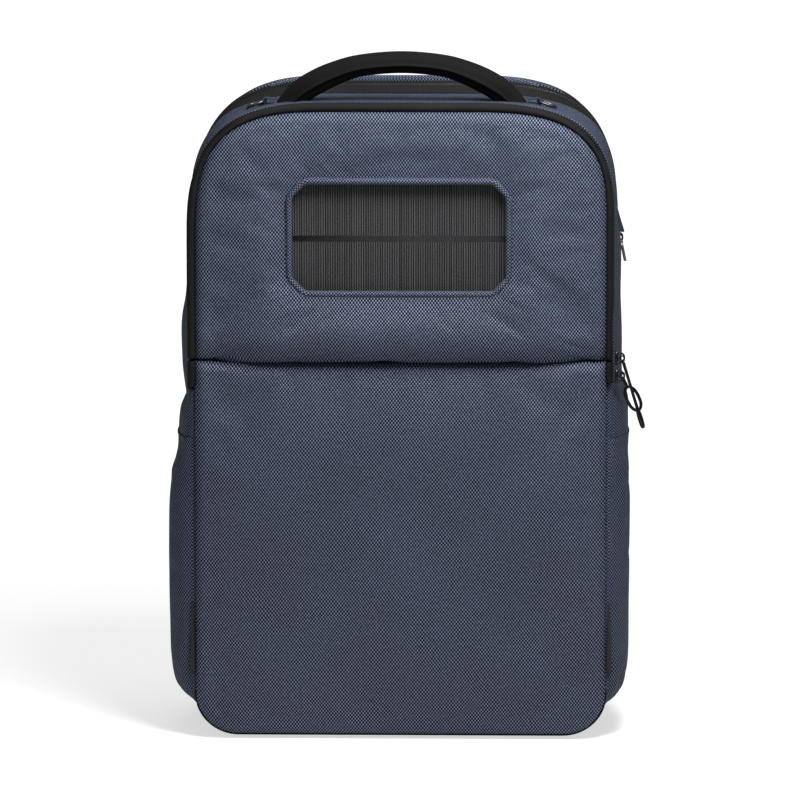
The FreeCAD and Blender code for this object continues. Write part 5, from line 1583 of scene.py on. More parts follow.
def back_pads():
    """Two spacer-mesh pads, each quilted into segments by sewn channels."""
    for side_name, _ in SIDES:
        node = f"{side_name}_back_pad"
        low, high = cad_box(node)
        centre_x = (low[0] + high[0]) / 2
        half_x, half_z = (high[0] - low[0]) / 2 - 0.5, (high[2] - low[2]) / 2 - 0.5
        radius = 24
        marks = np.array((0, 0.5, 1.6, 3.4, 6, 9.5))
        foot, top = low[2] + 0.5, high[2] - 0.5
        z_marks = np.r_[foot + marks, np.arange(low[2] + 14, high[2] - 13, 3.2), (top - marks)[::-1]]
        from_end = np.minimum(z_marks - low[2] - 0.5, top - z_marks)
        inner = 1 - np.clip((radius - from_end) / radius, 0, 1) ** 2
        widths = half_x - radius + radius * np.sqrt(np.maximum(inner, 0))
        middle_marks = np.linspace(-half_x + 13, half_x - 13, 16)
        cross = np.r_[-half_x + marks, middle_marks, (half_x - marks)[::-1]] / half_x
        flat = np.array(
            [[(centre_x + share * w, z) for share in cross] for w, z in zip(widths, z_marks)]
        )
        channels = np.linspace(low[2], high[2], PAD_CHANNELS + 1)[1:-1]

        def edge_of(points):
            dx = half_x - np.abs(points[:, 0] - centre_x)
            dz = half_z - np.abs(points[:, 1] - (low[2] + high[2]) / 2)
            corner = radius - np.hypot(np.maximum(radius - dx, 0), np.maximum(radius - dz, 0))
            return np.minimum(np.minimum(dx, dz), np.where((dx < radius) & (dz < radius), corner, 1e9))

        def channel_gap(points):
            return np.min(np.abs(points[:, 1][:, None] - channels[None, :]), axis=1)

        def depth_of(points):
            full = high[1] - low[1] - 1.8
            rise = edge_round(np.maximum(edge_of(points), 0), 14)
            groove = 1 - 0.62 * np.exp(-((channel_gap(points) / 5.5) ** 2))
            return full * rise * groove

        def held_of(points):
            free = step_between(1, 9, edge_of(points)) * step_between(0.5, 6, channel_gap(points))
            return 1 - free

        obj = pillow(f"{node}_cover", flat, depth_of, low[1] - 0.2, MESH, 1.5, held_of, 1.8)
        finish(obj, "pack_body", "mesh_fabric", node)
        corners = rounded_rectangle(half_x + 0.6, half_z + 0.6, radius, 9)
        loop = [(x + centre_x, low[1] + 0.7, z + (low[2] + high[2]) / 2) for x, z in corners]
        piping = tube(
            f"{side_name}_pad_piping", loop, 1.5, DARK_CLOTH, sides=8, closed=True, up=(0, 1, 0)
        )
        finish(smooth_more(piping), "pack_body", "black_webbing")


def patch(name, outline, y, thick, material, crown=0.6):
    """A flat sewn patch on the back: an outline in x and z, raised towards +Y."""
    outline = np.asarray(outline, float)
    centre = outline.mean(axis=0)
    rows = []
    full = 1.0 + crown
    rings = ((1.0, 0.0), (1.0, 0.75), (0.985, 1.0), (0.8, 1.0 + crown * 0.5), (0.45, full), (0.05, full))
    for share, lift in rings:
        ring = centre + (outline - centre) * share
        rows.append([(x, y + thick * min(lift, 1) + (lift - 1) * (lift > 1), z) for x, z in ring])
    us = section_lengths(outline, True)
    obj = grid_object(name, rows, us, np.arange(len(rows)), material, closed_columns=True)
    flat_uv(obj)
    face_outward(obj, (centre[0], y - 50, centre[1]))
    cap_open_rims(obj)
    return obj


def cap_open_rims(obj):
    """Fills the open ends of a mesh."""
    mesh = bmesh.new()
    mesh.from_mesh(obj.data)
    rims = [e for e in mesh.edges if e.is_boundary]
    bmesh.ops.holes_fill(mesh, edges=rims)
    bmesh.ops.recalc_face_normals(mesh, faces=mesh.faces)
    mesh.to_mesh(obj.data)
    mesh.free()
    return obj


def yoke():
    """The strap yoke with its box stitching."""
    low, high = cad_box("strap_yoke")
    outline = rounded_rectangle((high[0] - low[0]) / 2, (high[2] - low[2]) / 2 + 1, 6, 5)
    outline = outline + (0, (low[2] + high[2]) / 2)
    obj = patch("yoke_cover", outline, low[1] - 0.2, high[1] - low[1] - 0.6, DARK_CLOTH)
    finish(obj, "pack_body", "black_webbing", "strap_yoke")
    inset = rounded_rectangle((high[0] - low[0]) / 2 - 3, (high[2] - low[2]) / 2 - 2, 4, 5)
    line = [(x, high[1] - 0.35, z + (low[2] + high[2]) / 2) for x, z in inset]
    sewn = stitches("yoke_stitches", line + line[:1], (0, 1, 0), THREAD)
    finish(sewn, "pack_body", "black_webbing")


def strap_anchors():
    """The tapered cloth patches that hold the lower ends of the strap webbing."""
    for side_name, _ in SIDES:
        node = f"{side_name}_strap_anchor"
        low, high = cad_box(node)
        middle = (low[0] + high[0]) / 2
        half, narrow = (high[0] - low[0]) / 2, 12
        corners = [
            (middle - half, low[2]),
            (middle + half, low[2]),
            (middle + narrow, high[2]),
            (middle - narrow, high[2]),
        ]
        outline, _ = resample(corners, 4.0, True)
        obj = patch(
            f"{node}_cover", outline, low[1] - 0.2, high[1] - low[1] - 0.4, SIDE_CLOTH, crown=0.3
        )
        finish(obj, "pack_body", "navy_side_fabric", node)
        centre = outline.mean(axis=0)
        inner = centre + (outline - centre) * 0.84
        line = [(x, high[1] - 0.25, z) for x, z in inner]
        sewn = stitches(f"{side_name}_anchor_stitches", line + line[:1], (0, 1, 0), DARK_THREAD)
        finish(sewn, "pack_body", "black_webbing")


# ---------------------------------------------------------------- shoulder straps

STRAP_LENGTH, STRAP_BOW, STRAP_WIDE, STRAP_THICK = 264, 22, 62, 11


def strap_frame(side_name):
    """A strap's own axes: across, away from the back, and up its chord; and its origin."""
    swing, tilt = JOINTS[f"{side_name}_strap_swing"], JOINTS[f"{side_name}_lock_tilt"]
    origin = np.array(swing["pos_m"]) / MM
    across = np.array(swing["axis"], float)
    up = origin - np.array(tilt["pos_m"]) / MM
    up -= across * (up @ across)
    up /= np.linalg.norm(up)
    # The lock's rod hangs a little inside the chord, so the chord itself leans further out.
    lean = math.radians(0.9)
    away = np.cross(up, across)
    up = up * math.cos(lean) - away * math.sin(lean)
    away = np.cross(up, across)
    return origin, across, away, up


def strap_points(side_name, local):
    """Points of a strap's own frame (across, away, up) in the row frame."""
    origin, across, away, up = strap_frame(side_name)
    local = np.asarray(local, float)
    return origin + local[:, :1] * across + local[:, 1:2] * away + local[:, 2:3] * up


def strap_curve(count):
    """The bowed centre line of a strap, its normals, both as (away, up), and its length."""
    half = STRAP_LENGTH / 2
    radius = (half**2 + STRAP_BOW**2) / (2 * STRAP_BOW)
    reach = math.asin(half / radius)
    angles = np.linspace(reach, -reach, count)
    normals = np.stack([np.cos(angles), np.sin(angles)], axis=1)
    line = radius * normals + (STRAP_BOW - radius, -half)
    return line, normals, radius * 2 * reach


def strap_spot(side_name, index):
    """One of the points of a strap's centre line in the row frame."""
    line = strap_curve(64)[0]
    return strap_points(side_name, [(0, *line[index])])[0]


def strap_width(share):
    """Half the strap's width along its length: broad at the shoulder, narrow at the lock."""
    return (STRAP_WIDE / 2) * (1 - 0.30 * step_between(0.35, 1.0, share))


def strap_cover(side_name, face, material):
    """One face of a strap's padding: 1 is the outer face and -1 the underside."""
    line, normals, length = strap_curve(64)
    shares = np.linspace(0, 1, len(line))
    across_shares = np.linspace(-1, 1, 17)
    widths = strap_width(shares)
    taper = np.minimum(edge_round(shares * length, 7), edge_round((1 - shares) * length, 7))
    taper = 0.35 + 0.65 * taper
    rows = []
    for q in across_shares:
        rise = STRAP_THICK / 2 * (0.12 + 0.88 * (1 - abs(q) ** 3.2) ** 0.5) * taper
        rise = rise * (1 + 0.06 * np.sin(shares * 40) * (1 - abs(q)) * (face < 0))
        spot = line + normals * (face * rise)[:, None]
        rows.append(strap_points(side_name, np.column_stack([q * (widths - 0.8), spot])))
    us, vs = shares * length, across_shares * STRAP_WIDE / 2
    name = "face" if face > 0 else "underside"
    obj = grid_object(f"{side_name}_strap_{name}", rows, us, vs, material)
    origin, _, away, up = strap_frame(side_name)
    face_outward(obj, origin + away * (STRAP_BOW * 0.66 - face * 60) - up * STRAP_LENGTH / 2)
    free_across = step_between(0, 0.2, 1 - np.abs(across_shares))
    free_along = step_between(0, 0.04, np.minimum(shares, 1 - shares))
    held = 1 - np.outer(free_across, free_along).ravel()
    simulate(obj, held, 1.2, 1.4, growth=0.01, bending=1.0)
    thicken(obj, 1.0)
    return smooth_more(obj)


def strap_binding(side_name):
    """The bound edge round a strap's padding."""
    line = strap_curve(64)[0]
    widths = strap_width(np.linspace(0, 1, len(line)))
    right = np.column_stack([widths, line])
    left = np.column_stack([-widths, line])[::-1]
    loop, _ = resample(np.vstack([right, left]), 5.0, True)
    spots = strap_points(side_name, loop)
    across_face = strap_frame(side_name)[2]
    name = f"{side_name}_strap_binding"
    return smooth_more(tube(name, spots, 2.3, DARK_CLOTH, closed=True, up=across_face))


def shoulder_straps():
    """Padded straps: cloth face, mesh underside, bound edges and a sewn webbing strip."""
    for side_name, _ in SIDES:
        body = f"{side_name}_strap_body"
        face = strap_cover(side_name, 1, SIDE_CLOTH)
        finish(face, body, "navy_side_fabric", f"{side_name}_shoulder_strap")
        finish(strap_cover(side_name, -1, MESH), body, "mesh_fabric")
        finish(strap_binding(side_name), body, "black_webbing")
        strap_strip(side_name)
        lock_loop(side_name)
        strap_neck(side_name)


# The sewn webbing's cross-section: across the strap and out from its face.
STRIP_SECTION = (
    (-10.5, 0.0),
    (-10.2, 0.75),
    (-6, 0.9),
    (0, 0.95),
    (6, 0.9),
    (10.2, 0.75),
    (10.5, 0.0),
    (10, -0.6),
    (0, -0.7),
    (-10, -0.6),
)


def closed_band(name, rows, us, profile, material):
    """A capped solid with a closed section, from one row of points per section point."""
    vs = section_lengths(profile, True)
    return face_outward(grid_object(name, rows, us, vs, material, closed_rows=True, caps=True))


def strap_strip(side_name):
    """The webbing sewn down the middle of a strap's face, with bar tacks."""
    line, normals, length = strap_curve(64)
    lift = STRAP_THICK / 2 + 1.2
    body = f"{side_name}_strap_body"
    keep = slice(3, -2)
    centre = line[keep] + normals[keep] * lift

    def run_at(q, spots):
        return strap_points(side_name, np.column_stack([np.full(len(spots), q), spots]))

    rows = [run_at(q, centre + normals[keep] * out) for q, out in STRIP_SECTION]
    us = np.linspace(0, length, len(centre) + 1)
    obj = closed_band(f"{side_name}_strap_strip", rows, us, STRIP_SECTION, WEBBING)
    finish(obj, body, "black_webbing")
    away = strap_frame(side_name)[2]
    top = centre + normals[keep] * 0.95
    pieces = []
    for q in (-8.6, 8.6):
        run = run_at(q, top)
        pieces.append(stitches("part", run, away, DARK_THREAD, length=2.8))
    for share in (0.12, 0.32, 0.52, 0.72, 0.9):
        k = int(share * len(top))
        for shift in (-1, 0, 1):
            spot = top[k] + (top[k + 1] - top[k]) * 0.35 * shift
            run = strap_points(side_name, [(q, spot[0], spot[1]) for q in np.linspace(-8.4, 8.4, 12)])
            pieces.append(stitches("part", run, away, DARK_THREAD, length=2.0, gap=0.3))
    finish(join(f"{side_name}_strap_stitches", pieces), body, "black_webbing")


LOOP_HALF = 11.6


def lock_loop(side_name):
    """The webbing loop that holds the ladder lock's rod."""
    rod = np.array(JOINTS[f"{side_name}_lock_tilt"]["pos_m"]) / MM
    across = strap_frame(side_name)[1]
    rise = strap_spot(side_name, -1) - rod
    rise -= across * (rise @ across)
    tail = rise / np.linalg.norm(rise)
    out = np.cross(tail, across)
    outer, inner, reach = 3.6, 2.25, np.linalg.norm(rise) + 4
    profile = []
    for angle in np.radians(np.linspace(25, -205, 13)):
        profile.append((outer * math.cos(angle), outer * math.sin(angle)))
    profile += [(-1.8, 4.2), (-1.7, reach), (-0.1, reach), (-0.1, 3.2)]
    for angle in np.radians(np.linspace(-228, 48, 15)):
        profile.append((inner * math.cos(angle), inner * math.sin(angle)))
    profile += [(0.1, 3.2), (0.1, reach), (1.7, reach), (1.8, 4.2)]
    rows = []
    for o, t in profile:
        rows.append(
            [rod + across * q + out * o + tail * t for q in np.linspace(-LOOP_HALF, LOOP_HALF, 9)]
        )
    name = f"{side_name}_lock_loop"
    obj = closed_band(f"{name}_cover", rows, np.linspace(0, 2 * LOOP_HALF, 10), profile, WEBBING)
    finish(obj, f"{side_name}_strap_body", "black_webbing", name)


def strap_neck(side_name):
    """The flexible top of a strap, from the yoke over to the padded part."""
    origin, across, _, _ = strap_frame(side_name)
    _, yoke_high = cad_box("strap_yoke")
    start = origin + np.array((0, yoke_high[1] - origin[1] - 0.8, yoke_high[2] - origin[2] - 20))
    top_end = strap_spot(side_name, 2)
    mid = (start + top_end) / 2 + np.array((0, 3.0, 7.0))
    ts = np.linspace(0, 1, 12)
    path = np.array([start * (1 - t) ** 2 + 2 * mid * t * (1 - t) + top_end * t * t for t in ts])
    tangents = np.gradient(path, axis=0)
    tangents /= np.linalg.norm(tangents, axis=1, keepdims=True)
    outs = np.cross(tangents, across)
    outs *= np.sign(outs[len(outs) // 2] @ np.array((0, 0.5, 1.0)))
    half = STRAP_WIDE / 2 - 3
    profile = rounded_bar(-half, half, -1.0, 1.0, 0.9)
    thick = np.linspace(1.2, 3.6, len(path))
    rows = []
    for q, o in profile:
        rows.append(path + across * q + outs * (o * thick)[:, None])
    us = np.linspace(0, 40, len(path) + 1)
    obj = closed_band(f"{side_name}_strap_neck", rows, us, profile, SIDE_CLOTH)
    blend_between(obj, "pack_body", f"{side_name}_strap_body", path[2], path[-3])


def blend_between(obj, first_body, second_body, start, end):
    """Bakes a piece's placement into its mesh and bends nothing; first_body, second_body, start and end
    are not used.
    """
    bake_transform(obj)


def strap_webbing():
    """The lower webbing: from its anchor to the lock, and the loose tail."""
    for side_name, _ in SIDES:
        rod = np.array(JOINTS[f"{side_name}_lock_tilt"]["pos_m"]) / MM
        across = np.array(JOINTS[f"{side_name}_lock_tilt"]["axis"], float)
        anchor_low, anchor_high = cad_box(f"{side_name}_strap_anchor")
        anchor_x, _, anchor_z = (anchor_low + anchor_high) / 2
        foot = np.array((anchor_x, anchor_high[1] + 0.9, anchor_z - 8))
        down = rod - strap_spot(side_name, -1)
        down -= across * (down @ across)
        down /= np.linalg.norm(down)
        out = np.cross(across, down)
        out *= np.sign(out[1])
        lock_foot = rod + down * 21 - out * 2.2
        mid_bar = rod + down * 11.2 - out * 1.4
        leave = anchor_high[2] + 1.0
        run = lock_foot - foot
        lift_off = foot + run * ((leave - foot[2]) / run[2]) * np.array((1, 0.2, 1))
        bowed = (lift_off + lock_foot) / 2 + out * 1.5
        first = smooth_line([foot, (foot + lift_off) / 2, lift_off, bowed, lock_foot], 30)
        obj = ribbon(f"{side_name}_strap_webbing_cover", first, across, 10, 0.8)
        blend_between(obj, "pack_body", f"{side_name}_strap_body", lift_off, lock_foot)
        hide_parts(f"{side_name}_strap_webbing")
        second = smooth_line([lock_foot - down * 0.5, (lock_foot + mid_bar) / 2, mid_bar], 8)
        obj = ribbon(f"{side_name}_webbing_return", second, across, 9.8, 0.75)
        bodies = (f"{side_name}_strap_body", f"{side_name}_lock_body")
        blend_between(obj, *bodies, lock_foot, mid_bar)
        tail_start = rod + down * 9.5 + out * 2.6
        tail = smooth_line(
            [
                mid_bar + out * 0.2 - down * 1.5,
                tail_start - down * 0.5 + out * 0.6,
                tail_start + down * 6 + out * 1.2,
                tail_start + down * 30 + out * 5,
                tail_start + down * 62 + out * 3,
            ],
            30,
        )
        obj = ribbon(f"{side_name}_webbing_tail", tail, across, 9.8, 0.75)
        finish(obj, f"{side_name}_lock_body", "black_webbing")


def smooth_line(knots, count):
    """A Catmull-Rom line through 3-D knots."""
    knots = np.asarray(knots, float)
    padded = np.vstack([2 * knots[0] - knots[1], knots, 2 * knots[-1] - knots[-2]])
    spots = []
    for k in range(len(knots) - 1):
        p0, p1, p2, p3 = padded[k : k + 4]
        for t in np.linspace(0, 1, max(2, count // (len(knots) - 1)), endpoint=False):
            square = (2 * p0 - 5 * p1 + 4 * p2 - p3) * t * t
            cube = (3 * p1 - p0 - 3 * p2 + p3) * t**3
            spots.append(0.5 * (2 * p1 + (p2 - p0) * t + square + cube))
    spots.append(knots[-1])
    return np.array(spots)


def ribbon(name, line, across, half, thick, material=WEBBING):
    """A flat band of webbing along a 3-D line, its width along across."""
    tangents = np.gradient(line, axis=0)
    tangents /= np.linalg.norm(tangents, axis=1, keepdims=True)
    wide = across - tangents * (tangents @ across)[:, None]
    wide /= np.linalg.norm(wide, axis=1, keepdims=True)
    outs = np.cross(tangents, wide)
    profile = rounded_bar(-half, half, -thick, thick, thick * 0.8)
    rows = [line + wide * q + outs * o for q, o in profile]
    lengths = section_lengths(line, False)
    us = np.r_[lengths, lengths[-1] + 1]
    return closed_band(name, rows, us, profile, material)


# ---------------------------------------------------------------- top handle and rings


# The handle's line from its foot to near its middle, and two heights given as a bend's ends, though
# nothing bends there.
HANDLE_BEND_Z = (449, 462)
HANDLE_KNOTS = ((83.0, 443.0), (80.6, 446.4), (72.7, 454.8), (61.9, 462.1), (46.4, 469.3), (28.7, 474.6))


def handle_path(count):
    """The handle's centre line over the top and down to its sewn ends, in x and z."""
    _, high = cad_box("top_handle")
    knots = [(-x, z) for x, z in HANDLE_KNOTS] + [(0, high[2] - 6.0)] + list(HANDLE_KNOTS[::-1])
    line = smooth_line([(x, 0, z) for x, z in knots], count)
    return line[:, [0, 2]]


# The webbing patch under each end of the handle, in x and z.
HANDLE_PATCH = ((88, 447.6), (85, 448.3), (82, 448.9), (76, 449.4))

# Half of the handle's cross-section: a crowned top, a seam ridge, and a tucked underside.
HANDLE_SECTION = (
    (0.0, 1.0),
    (0.4, 0.96),
    (0.7, 0.82),
    (0.88, 0.55),
    (0.95, 0.2),
    (0.97, -0.06),
    (1.07, -0.15),
    (1.09, -0.25),
    (0.98, -0.33),
    (0.88, -0.42),
    (0.82, -0.62),
    (0.72, -0.82),
    (0.6, -0.95),
    (0.3, -1.0),
)


def top_handle():
    """The padded grab handle, with its ends carried on down into the wall."""
    low, high = cad_box("top_handle")
    centre_y = (low[1] + high[1]) / 2
    path, marks = resample(handle_path(96), 3.2, False)
    normals = -outward_normals(path, False)
    share = np.abs(path[:, 0]) / HANDLE_KNOTS[0][0]
    width = 14.2 - 5.2 * step_between(0.7, 1.02, share)
    rise = 7.7 + 1.1 * step_between(0.3, 0.75, share) - 0.9 * step_between(0.85, 1.0, share)
    ring = list(HANDLE_SECTION) + [(0.0, -1.0)] + [(-y, n) for y, n in HANDLE_SECTION[:0:-1]]
    rows = []
    for y, n in ring:
        spot = path + normals * (n * rise)[:, None]
        rows.append(np.stack([spot[:, 0], centre_y + y * width, spot[:, 1]], axis=1))
    us = np.r_[marks, marks[-1] + 1]
    profile = [(y * 14, n * 6) for y, n in ring]
    obj = smooth_more(closed_band("handle_cover", rows, us, profile, HANDLE_CLOTH))
    bake_modifiers(obj)
    start, end = (np.array((0, centre_y, z)) for z in HANDLE_BEND_Z)
    blend_between(obj, "pack_body", "grab_handle", start, end)
    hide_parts("top_handle")


def handle_patches():
    """The flat webbing that each end of the handle is sewn to."""
    low, high = cad_box("top_handle")
    centre_y = (low[1] + high[1]) / 2
    for side_name, side in SIDES:
        knots = [(side * x, centre_y, z) for x, z in HANDLE_PATCH]
        line = smooth_line(knots, 12)
        base_patch = ribbon(f"{side_name}_handle_patch", line, np.array((0, 1.0, 0)), 10.0, 0.6)
        nodes = ["handle_anchor_tabs"] if side > 0 else []
        finish(base_patch, "pack_body", "black_webbing", *nodes)


def bake_modifiers(obj):
    """Applies a piece's modifiers to its mesh."""
    dg = bpy.context.evaluated_depsgraph_get()
    data = bpy.data.meshes.new_from_object(
        obj.evaluated_get(dg), preserve_all_data_layers=True, depsgraph=dg
    )
    obj.modifiers.clear()
    obj.data = data


def attachment_rings():
    """The flat metal rings, their stitched tabs, and black cloth sheets under the rings that are painted
    shade in their openings.
    """
    for side_name, side in SIDES:
        flip = JOINTS[f"{side_name}_ring_flip"]
        lift = np.array((side * 1.5, 0, 2.2))
        pivot = np.array(flip["pos_m"]) / MM + lift
        low, high = (corner + lift for corner in cad_box(f"{side_name}_ring"))
        far_x = high[0] - 1.1 if side > 0 else low[0] + 1.1
        far_z = low[2] + 1.1
        outward = np.array((far_x - pivot[0], 0, far_z - pivot[2]))
        reach = np.linalg.norm(outward)
        outward /= reach
        half = (high[1] - low[1]) / 2 - 1.1
        corners = rounded_rectangle(reach / 2, half, 2.6, 5)
        loop = [pivot + outward * (reach / 2 + a) + np.array((0, b, 0)) for a, b in corners]
        obj = tube(f"{side_name}_ring_wire", loop, 1.15, RING_METAL, sides=10, closed=True)
        finish(smooth_more(obj), f"{side_name}_ring_body", "dark_metal", f"{side_name}_ring")
        node = f"{side_name}_ring_tab"
        tab_low, tab_high = cad_box(node)
        wide = (tab_high[1] - tab_low[1]) / 2
        x_in = pivot[0] - side * 7.5
        loop_line = [
            (x_in, pivot[1], pivot[2] + 0.9),
            (pivot[0] - side * 3, pivot[1], pivot[2] + 1.6),
            (pivot[0], pivot[1], pivot[2] + 1.75),
            (pivot[0] + side * 1.8, pivot[1], pivot[2] + 0.4),
            (pivot[0] + side * 0.9, pivot[1], pivot[2] - 1.5),
            (pivot[0] - side * 1.2, pivot[1], pivot[2] - 1.4),
        ]
        tab = ribbon(
            f"{node}_cover", smooth_line(loop_line, 24), np.array((0, 1.0, 0)), wide, 0.42, SIDE_CLOTH
        )
        finish(tab, "pack_body", "navy_side_fabric", node)
        pieces = []
        for dx in (5.6, 3.9):
            x, z = pivot[0] - side * dx, pivot[2] + 1.75 - dx * 0.06
            line = [(x, pivot[1] + y, z) for y in np.linspace(-wide + 0.6, wide - 0.6, 8)]
            pieces.append(stitches("part", line, (0, 0, 1), THREAD, length=1.5, gap=0.7, thick=0.4))
        finish(join(f"{side_name}_tab_stitches", pieces), "pack_body", "navy_side_fabric")
        # Under each ring, a black cloth sheet: painted shade, so that the ring's opening reads dark.
        shade_marks = np.linspace(-0.5, reach + 3.2, 8)
        shade_line = [pivot + outward * a + np.array((0, 0, -2.4 - 0.02 * a)) for a in shade_marks]
        across = np.array((0, 1.0, 0))
        name = f"{side_name}_ring_shade_sheet"
        shade_sheet = ribbon(name, np.array(shade_line), across, half + 2.4, 0.35, DARK_CLOTH)
        finish(shade_sheet, "pack_body", "black_webbing")


# ---------------------------------------------------------------- sliders and pulls


# The soft bands lie a little further in than the plain CAD ones, and so do the sliders.
SLIDER_IN = 2.2
PIN_IN = 1.6

# How far each pull hangs out from the upright, in degrees.
PULL_TILT = {"upper": 17, "lower": 26, "laptop": 12}

# A slider's outline: height from its middle, and half its width there.
SLIDER_SHAPE = ((-5.0, 2.0), (-4.4, 2.9), (-2.0, 3.5), (1.5, 3.5), (4.0, 2.7), (5.0, 1.8))


# Half of the hexagonal ring pull's line: across it, and down from its pin.
RING_HALF = ((1.6, 9), (3.9, 13), (4.3, 18), (3.9, 23), (1.9, 27))


def pull_axes(joint_name, tilt, node=None):
    """A pull's pin, at the middle of node if given, its direction down and its facing one."""
    pin = np.array(JOINTS[joint_name]["pos_m"]) / MM - (PIN_IN, 0, 0)
    if node:
        low, high = cad_box(node)
        pin[1] = (low[1] + high[1]) / 2
    angle = math.radians(tilt)
    hang = np.array((math.sin(angle), 0, -math.cos(angle)))
    face = np.array((math.cos(angle), 0, math.sin(angle)))
    return pin, hang, face


def pull_eye(pin, hang, face, material):
    """The small ring by which a pull hangs on its slider's pin."""
    line = []
    for angle in np.linspace(0, 2 * math.pi, 20, endpoint=False):
        line.append(pin + (hang * math.cos(angle) + face * math.sin(angle)) * 1.55)
    return tube("part", line, 0.62, material, sides=8, closed=True, up=(0, 1, 0))


def slider_body(name, material, slot):
    """A slider: a tapered, rounded plate on the coil and the bridge that holds the pull."""
    node = f"{name}_slider"
    low, high = cad_box(node)
    pin, _, _ = pull_axes(f"{name}_pull_swing", 0)
    face_x, y, z = low[0] - SLIDER_IN, (low[1] + high[1]) / 2, pin[2]
    rows = []
    for out, share in ((0.0, 0.9), (0.3, 1.0), (1.5, 1.0), (2.1, 0.82)):
        ring = [(y + half * share, z + rise) for rise, half in SLIDER_SHAPE]
        ring += [(y - half * share, z + rise) for rise, half in SLIDER_SHAPE[::-1]]
        rows.append([(face_x + out, spot_y, spot_z) for spot_y, spot_z in ring])
    us = np.arange(len(rows[0]) + 1) * 1.5
    plate = grid_object("part", rows, us, [0, 1, 2, 3], material, closed_columns=True)
    cap_open_rims(face_outward(plate))
    arc = [(face_x + 1.6, -3.9), (face_x + 3.2, -3.7), (pin[0] + 1.1, -2.2), (pin[0] + 1.6, 0)]
    arc += [(x, -rise) for x, rise in arc[-2::-1]]
    line = smooth_line([(x, y, z + rise) for x, rise in arc], 18)
    bridge = tube("part", line, 0.72, material, sides=8, up=(0, 1, 0))
    obj = join(f"{node}_cover", [plate, bridge])
    return finish(soften_edges(obj, 0.3), f"{node}_body", slot, node)


def sliders():
    """The three zipper sliders."""
    for name, slot in (("upper", "dark_metal"), ("lower", "dark_metal"), ("laptop", "grey_metal")):
        slider_body(name, DARK_METAL, slot)


# The long bar pull: distances down from its pin, and its radius at each.
BAR_MARKS = np.array((1.9, 3, 5, 9, 30, 38, 39.5, 42, 47, 50.5, 51.8, 52.2))
BAR_RADII = np.array((0.9, 1.2, 1.25, 1.15, 1.15, 1.2, 1.75, 2.05, 2.05, 1.9, 1.3, 0.5))


def upper_pull():
    """The long bar pull with a thicker end."""
    pin, hang, face = pull_axes("upper_pull_swing", PULL_TILT["upper"], "upper_pull")
    parts = [pull_eye(pin, hang, face, DARK_METAL)]
    bar = [pin + hang * t for t in BAR_MARKS]
    parts.append(tube("part", bar, BAR_RADII, DARK_METAL, sides=12, up=(0, 1, 0)))
    finish(smooth_more(join("upper_pull_cover", parts)), "upper_pull_body", "dark_metal", "upper_pull")


def lower_pull():
    """The hexagonal ring pull on its short stem."""
    pin, hang, face = pull_axes("lower_pull_swing", PULL_TILT["lower"], "lower_pull")
    parts = [pull_eye(pin, hang, face, DARK_METAL)]
    stem = [pin + hang * t for t in (1.9, 3, 5, 7, 9)]
    parts.append(tube("part", stem, (0.9, 1.3, 1.2, 1.2, 1.25), DARK_METAL, up=(0, 1, 0)))
    hexagon = list(RING_HALF) + [(-q, t) for q, t in RING_HALF[::-1]]
    outline, _ = resample(hexagon, 2.0, True)
    ring = [pin + hang * t + face * q for q, t in outline]
    parts.append(tube("part", ring, 1.25, DARK_METAL, closed=True, up=(0, 1, 0)))
    finish(smooth_more(join("lower_pull_cover", parts)), "lower_pull_body", "dark_metal", "lower_pull")


# The laptop slider's tab: half its width and height, its corners, its middle below the pin.
TAB_HALF_WIDE, TAB_HALF_TALL, TAB_ROUND, TAB_DROP = 3.0, 7.4, 1.6, 10.2


def laptop_pull():
    """The flat grey tab on the laptop slider."""
    pin, hang, face = pull_axes("laptop_pull_swing", PULL_TILT["laptop"])
    parts = [pull_eye(pin, hang, face, GREY_METAL)]
    outline = rounded_rectangle(TAB_HALF_WIDE, TAB_HALF_TALL, TAB_ROUND, 5)
    rows = []
    for share, out in ((0.94, -1.05), (1.0, -0.8), (1.0, 0.8), (0.94, 1.05)):
        ring = []
        for q, t in outline:
            ring.append(pin + hang * (TAB_DROP + t * share) + np.array((0, q * share, 0)) + face * out)
        rows.append(ring)
    us = np.arange(len(outline) + 1) * 1.0
    tab = grid_object("part", rows, us, [0, 1, 3, 4], GREY_METAL, closed_columns=True)
    parts.append(cap_open_rims(face_outward(tab)))
    stem = [pin + hang * t for t in (1.9, 3, 4.5)]
    parts.append(tube("part", stem, (0.9, 1.3, 1.3), GREY_METAL, up=(0, 1, 0)))
    finish(join("laptop_pull_cover", parts), "laptop_pull_body", "grey_metal", "laptop_pull")


def zipper_garage():
    """The folded cloth hood above the laptop slider."""
    low, high = cad_box("zipper_garage")
    ys = np.linspace(low[1], high[1], 13)
    zs = np.linspace(high[2] - 4, low[2] - 3, 9)
    rows = []
    for k, z in enumerate(zs):
        out = 7.0 * (0.12 + 0.88 * (k / 8) ** 1.2)
        line = []
        for y in ys:
            q = 2 * (y - low[1]) / (high[1] - low[1]) - 1
            line.append(
                (SHELL_HALF + 1.8 + out * (1 - abs(q) ** 2.6), y, z - 1.2 * (1 - q * q) * (k / 8))
            )
        rows.append(line)
    obj = grid_object("zipper_garage_cover", rows, ys, zs, SIDE_CLOTH)
    face_outward(obj, (0, 30, 360))
    thicken(obj, 1.1)
    smooth_more(obj)
    finish(obj, "pack_body", "navy_side_fabric", "zipper_garage")


# ---------------------------------------------------------------- inside the lid


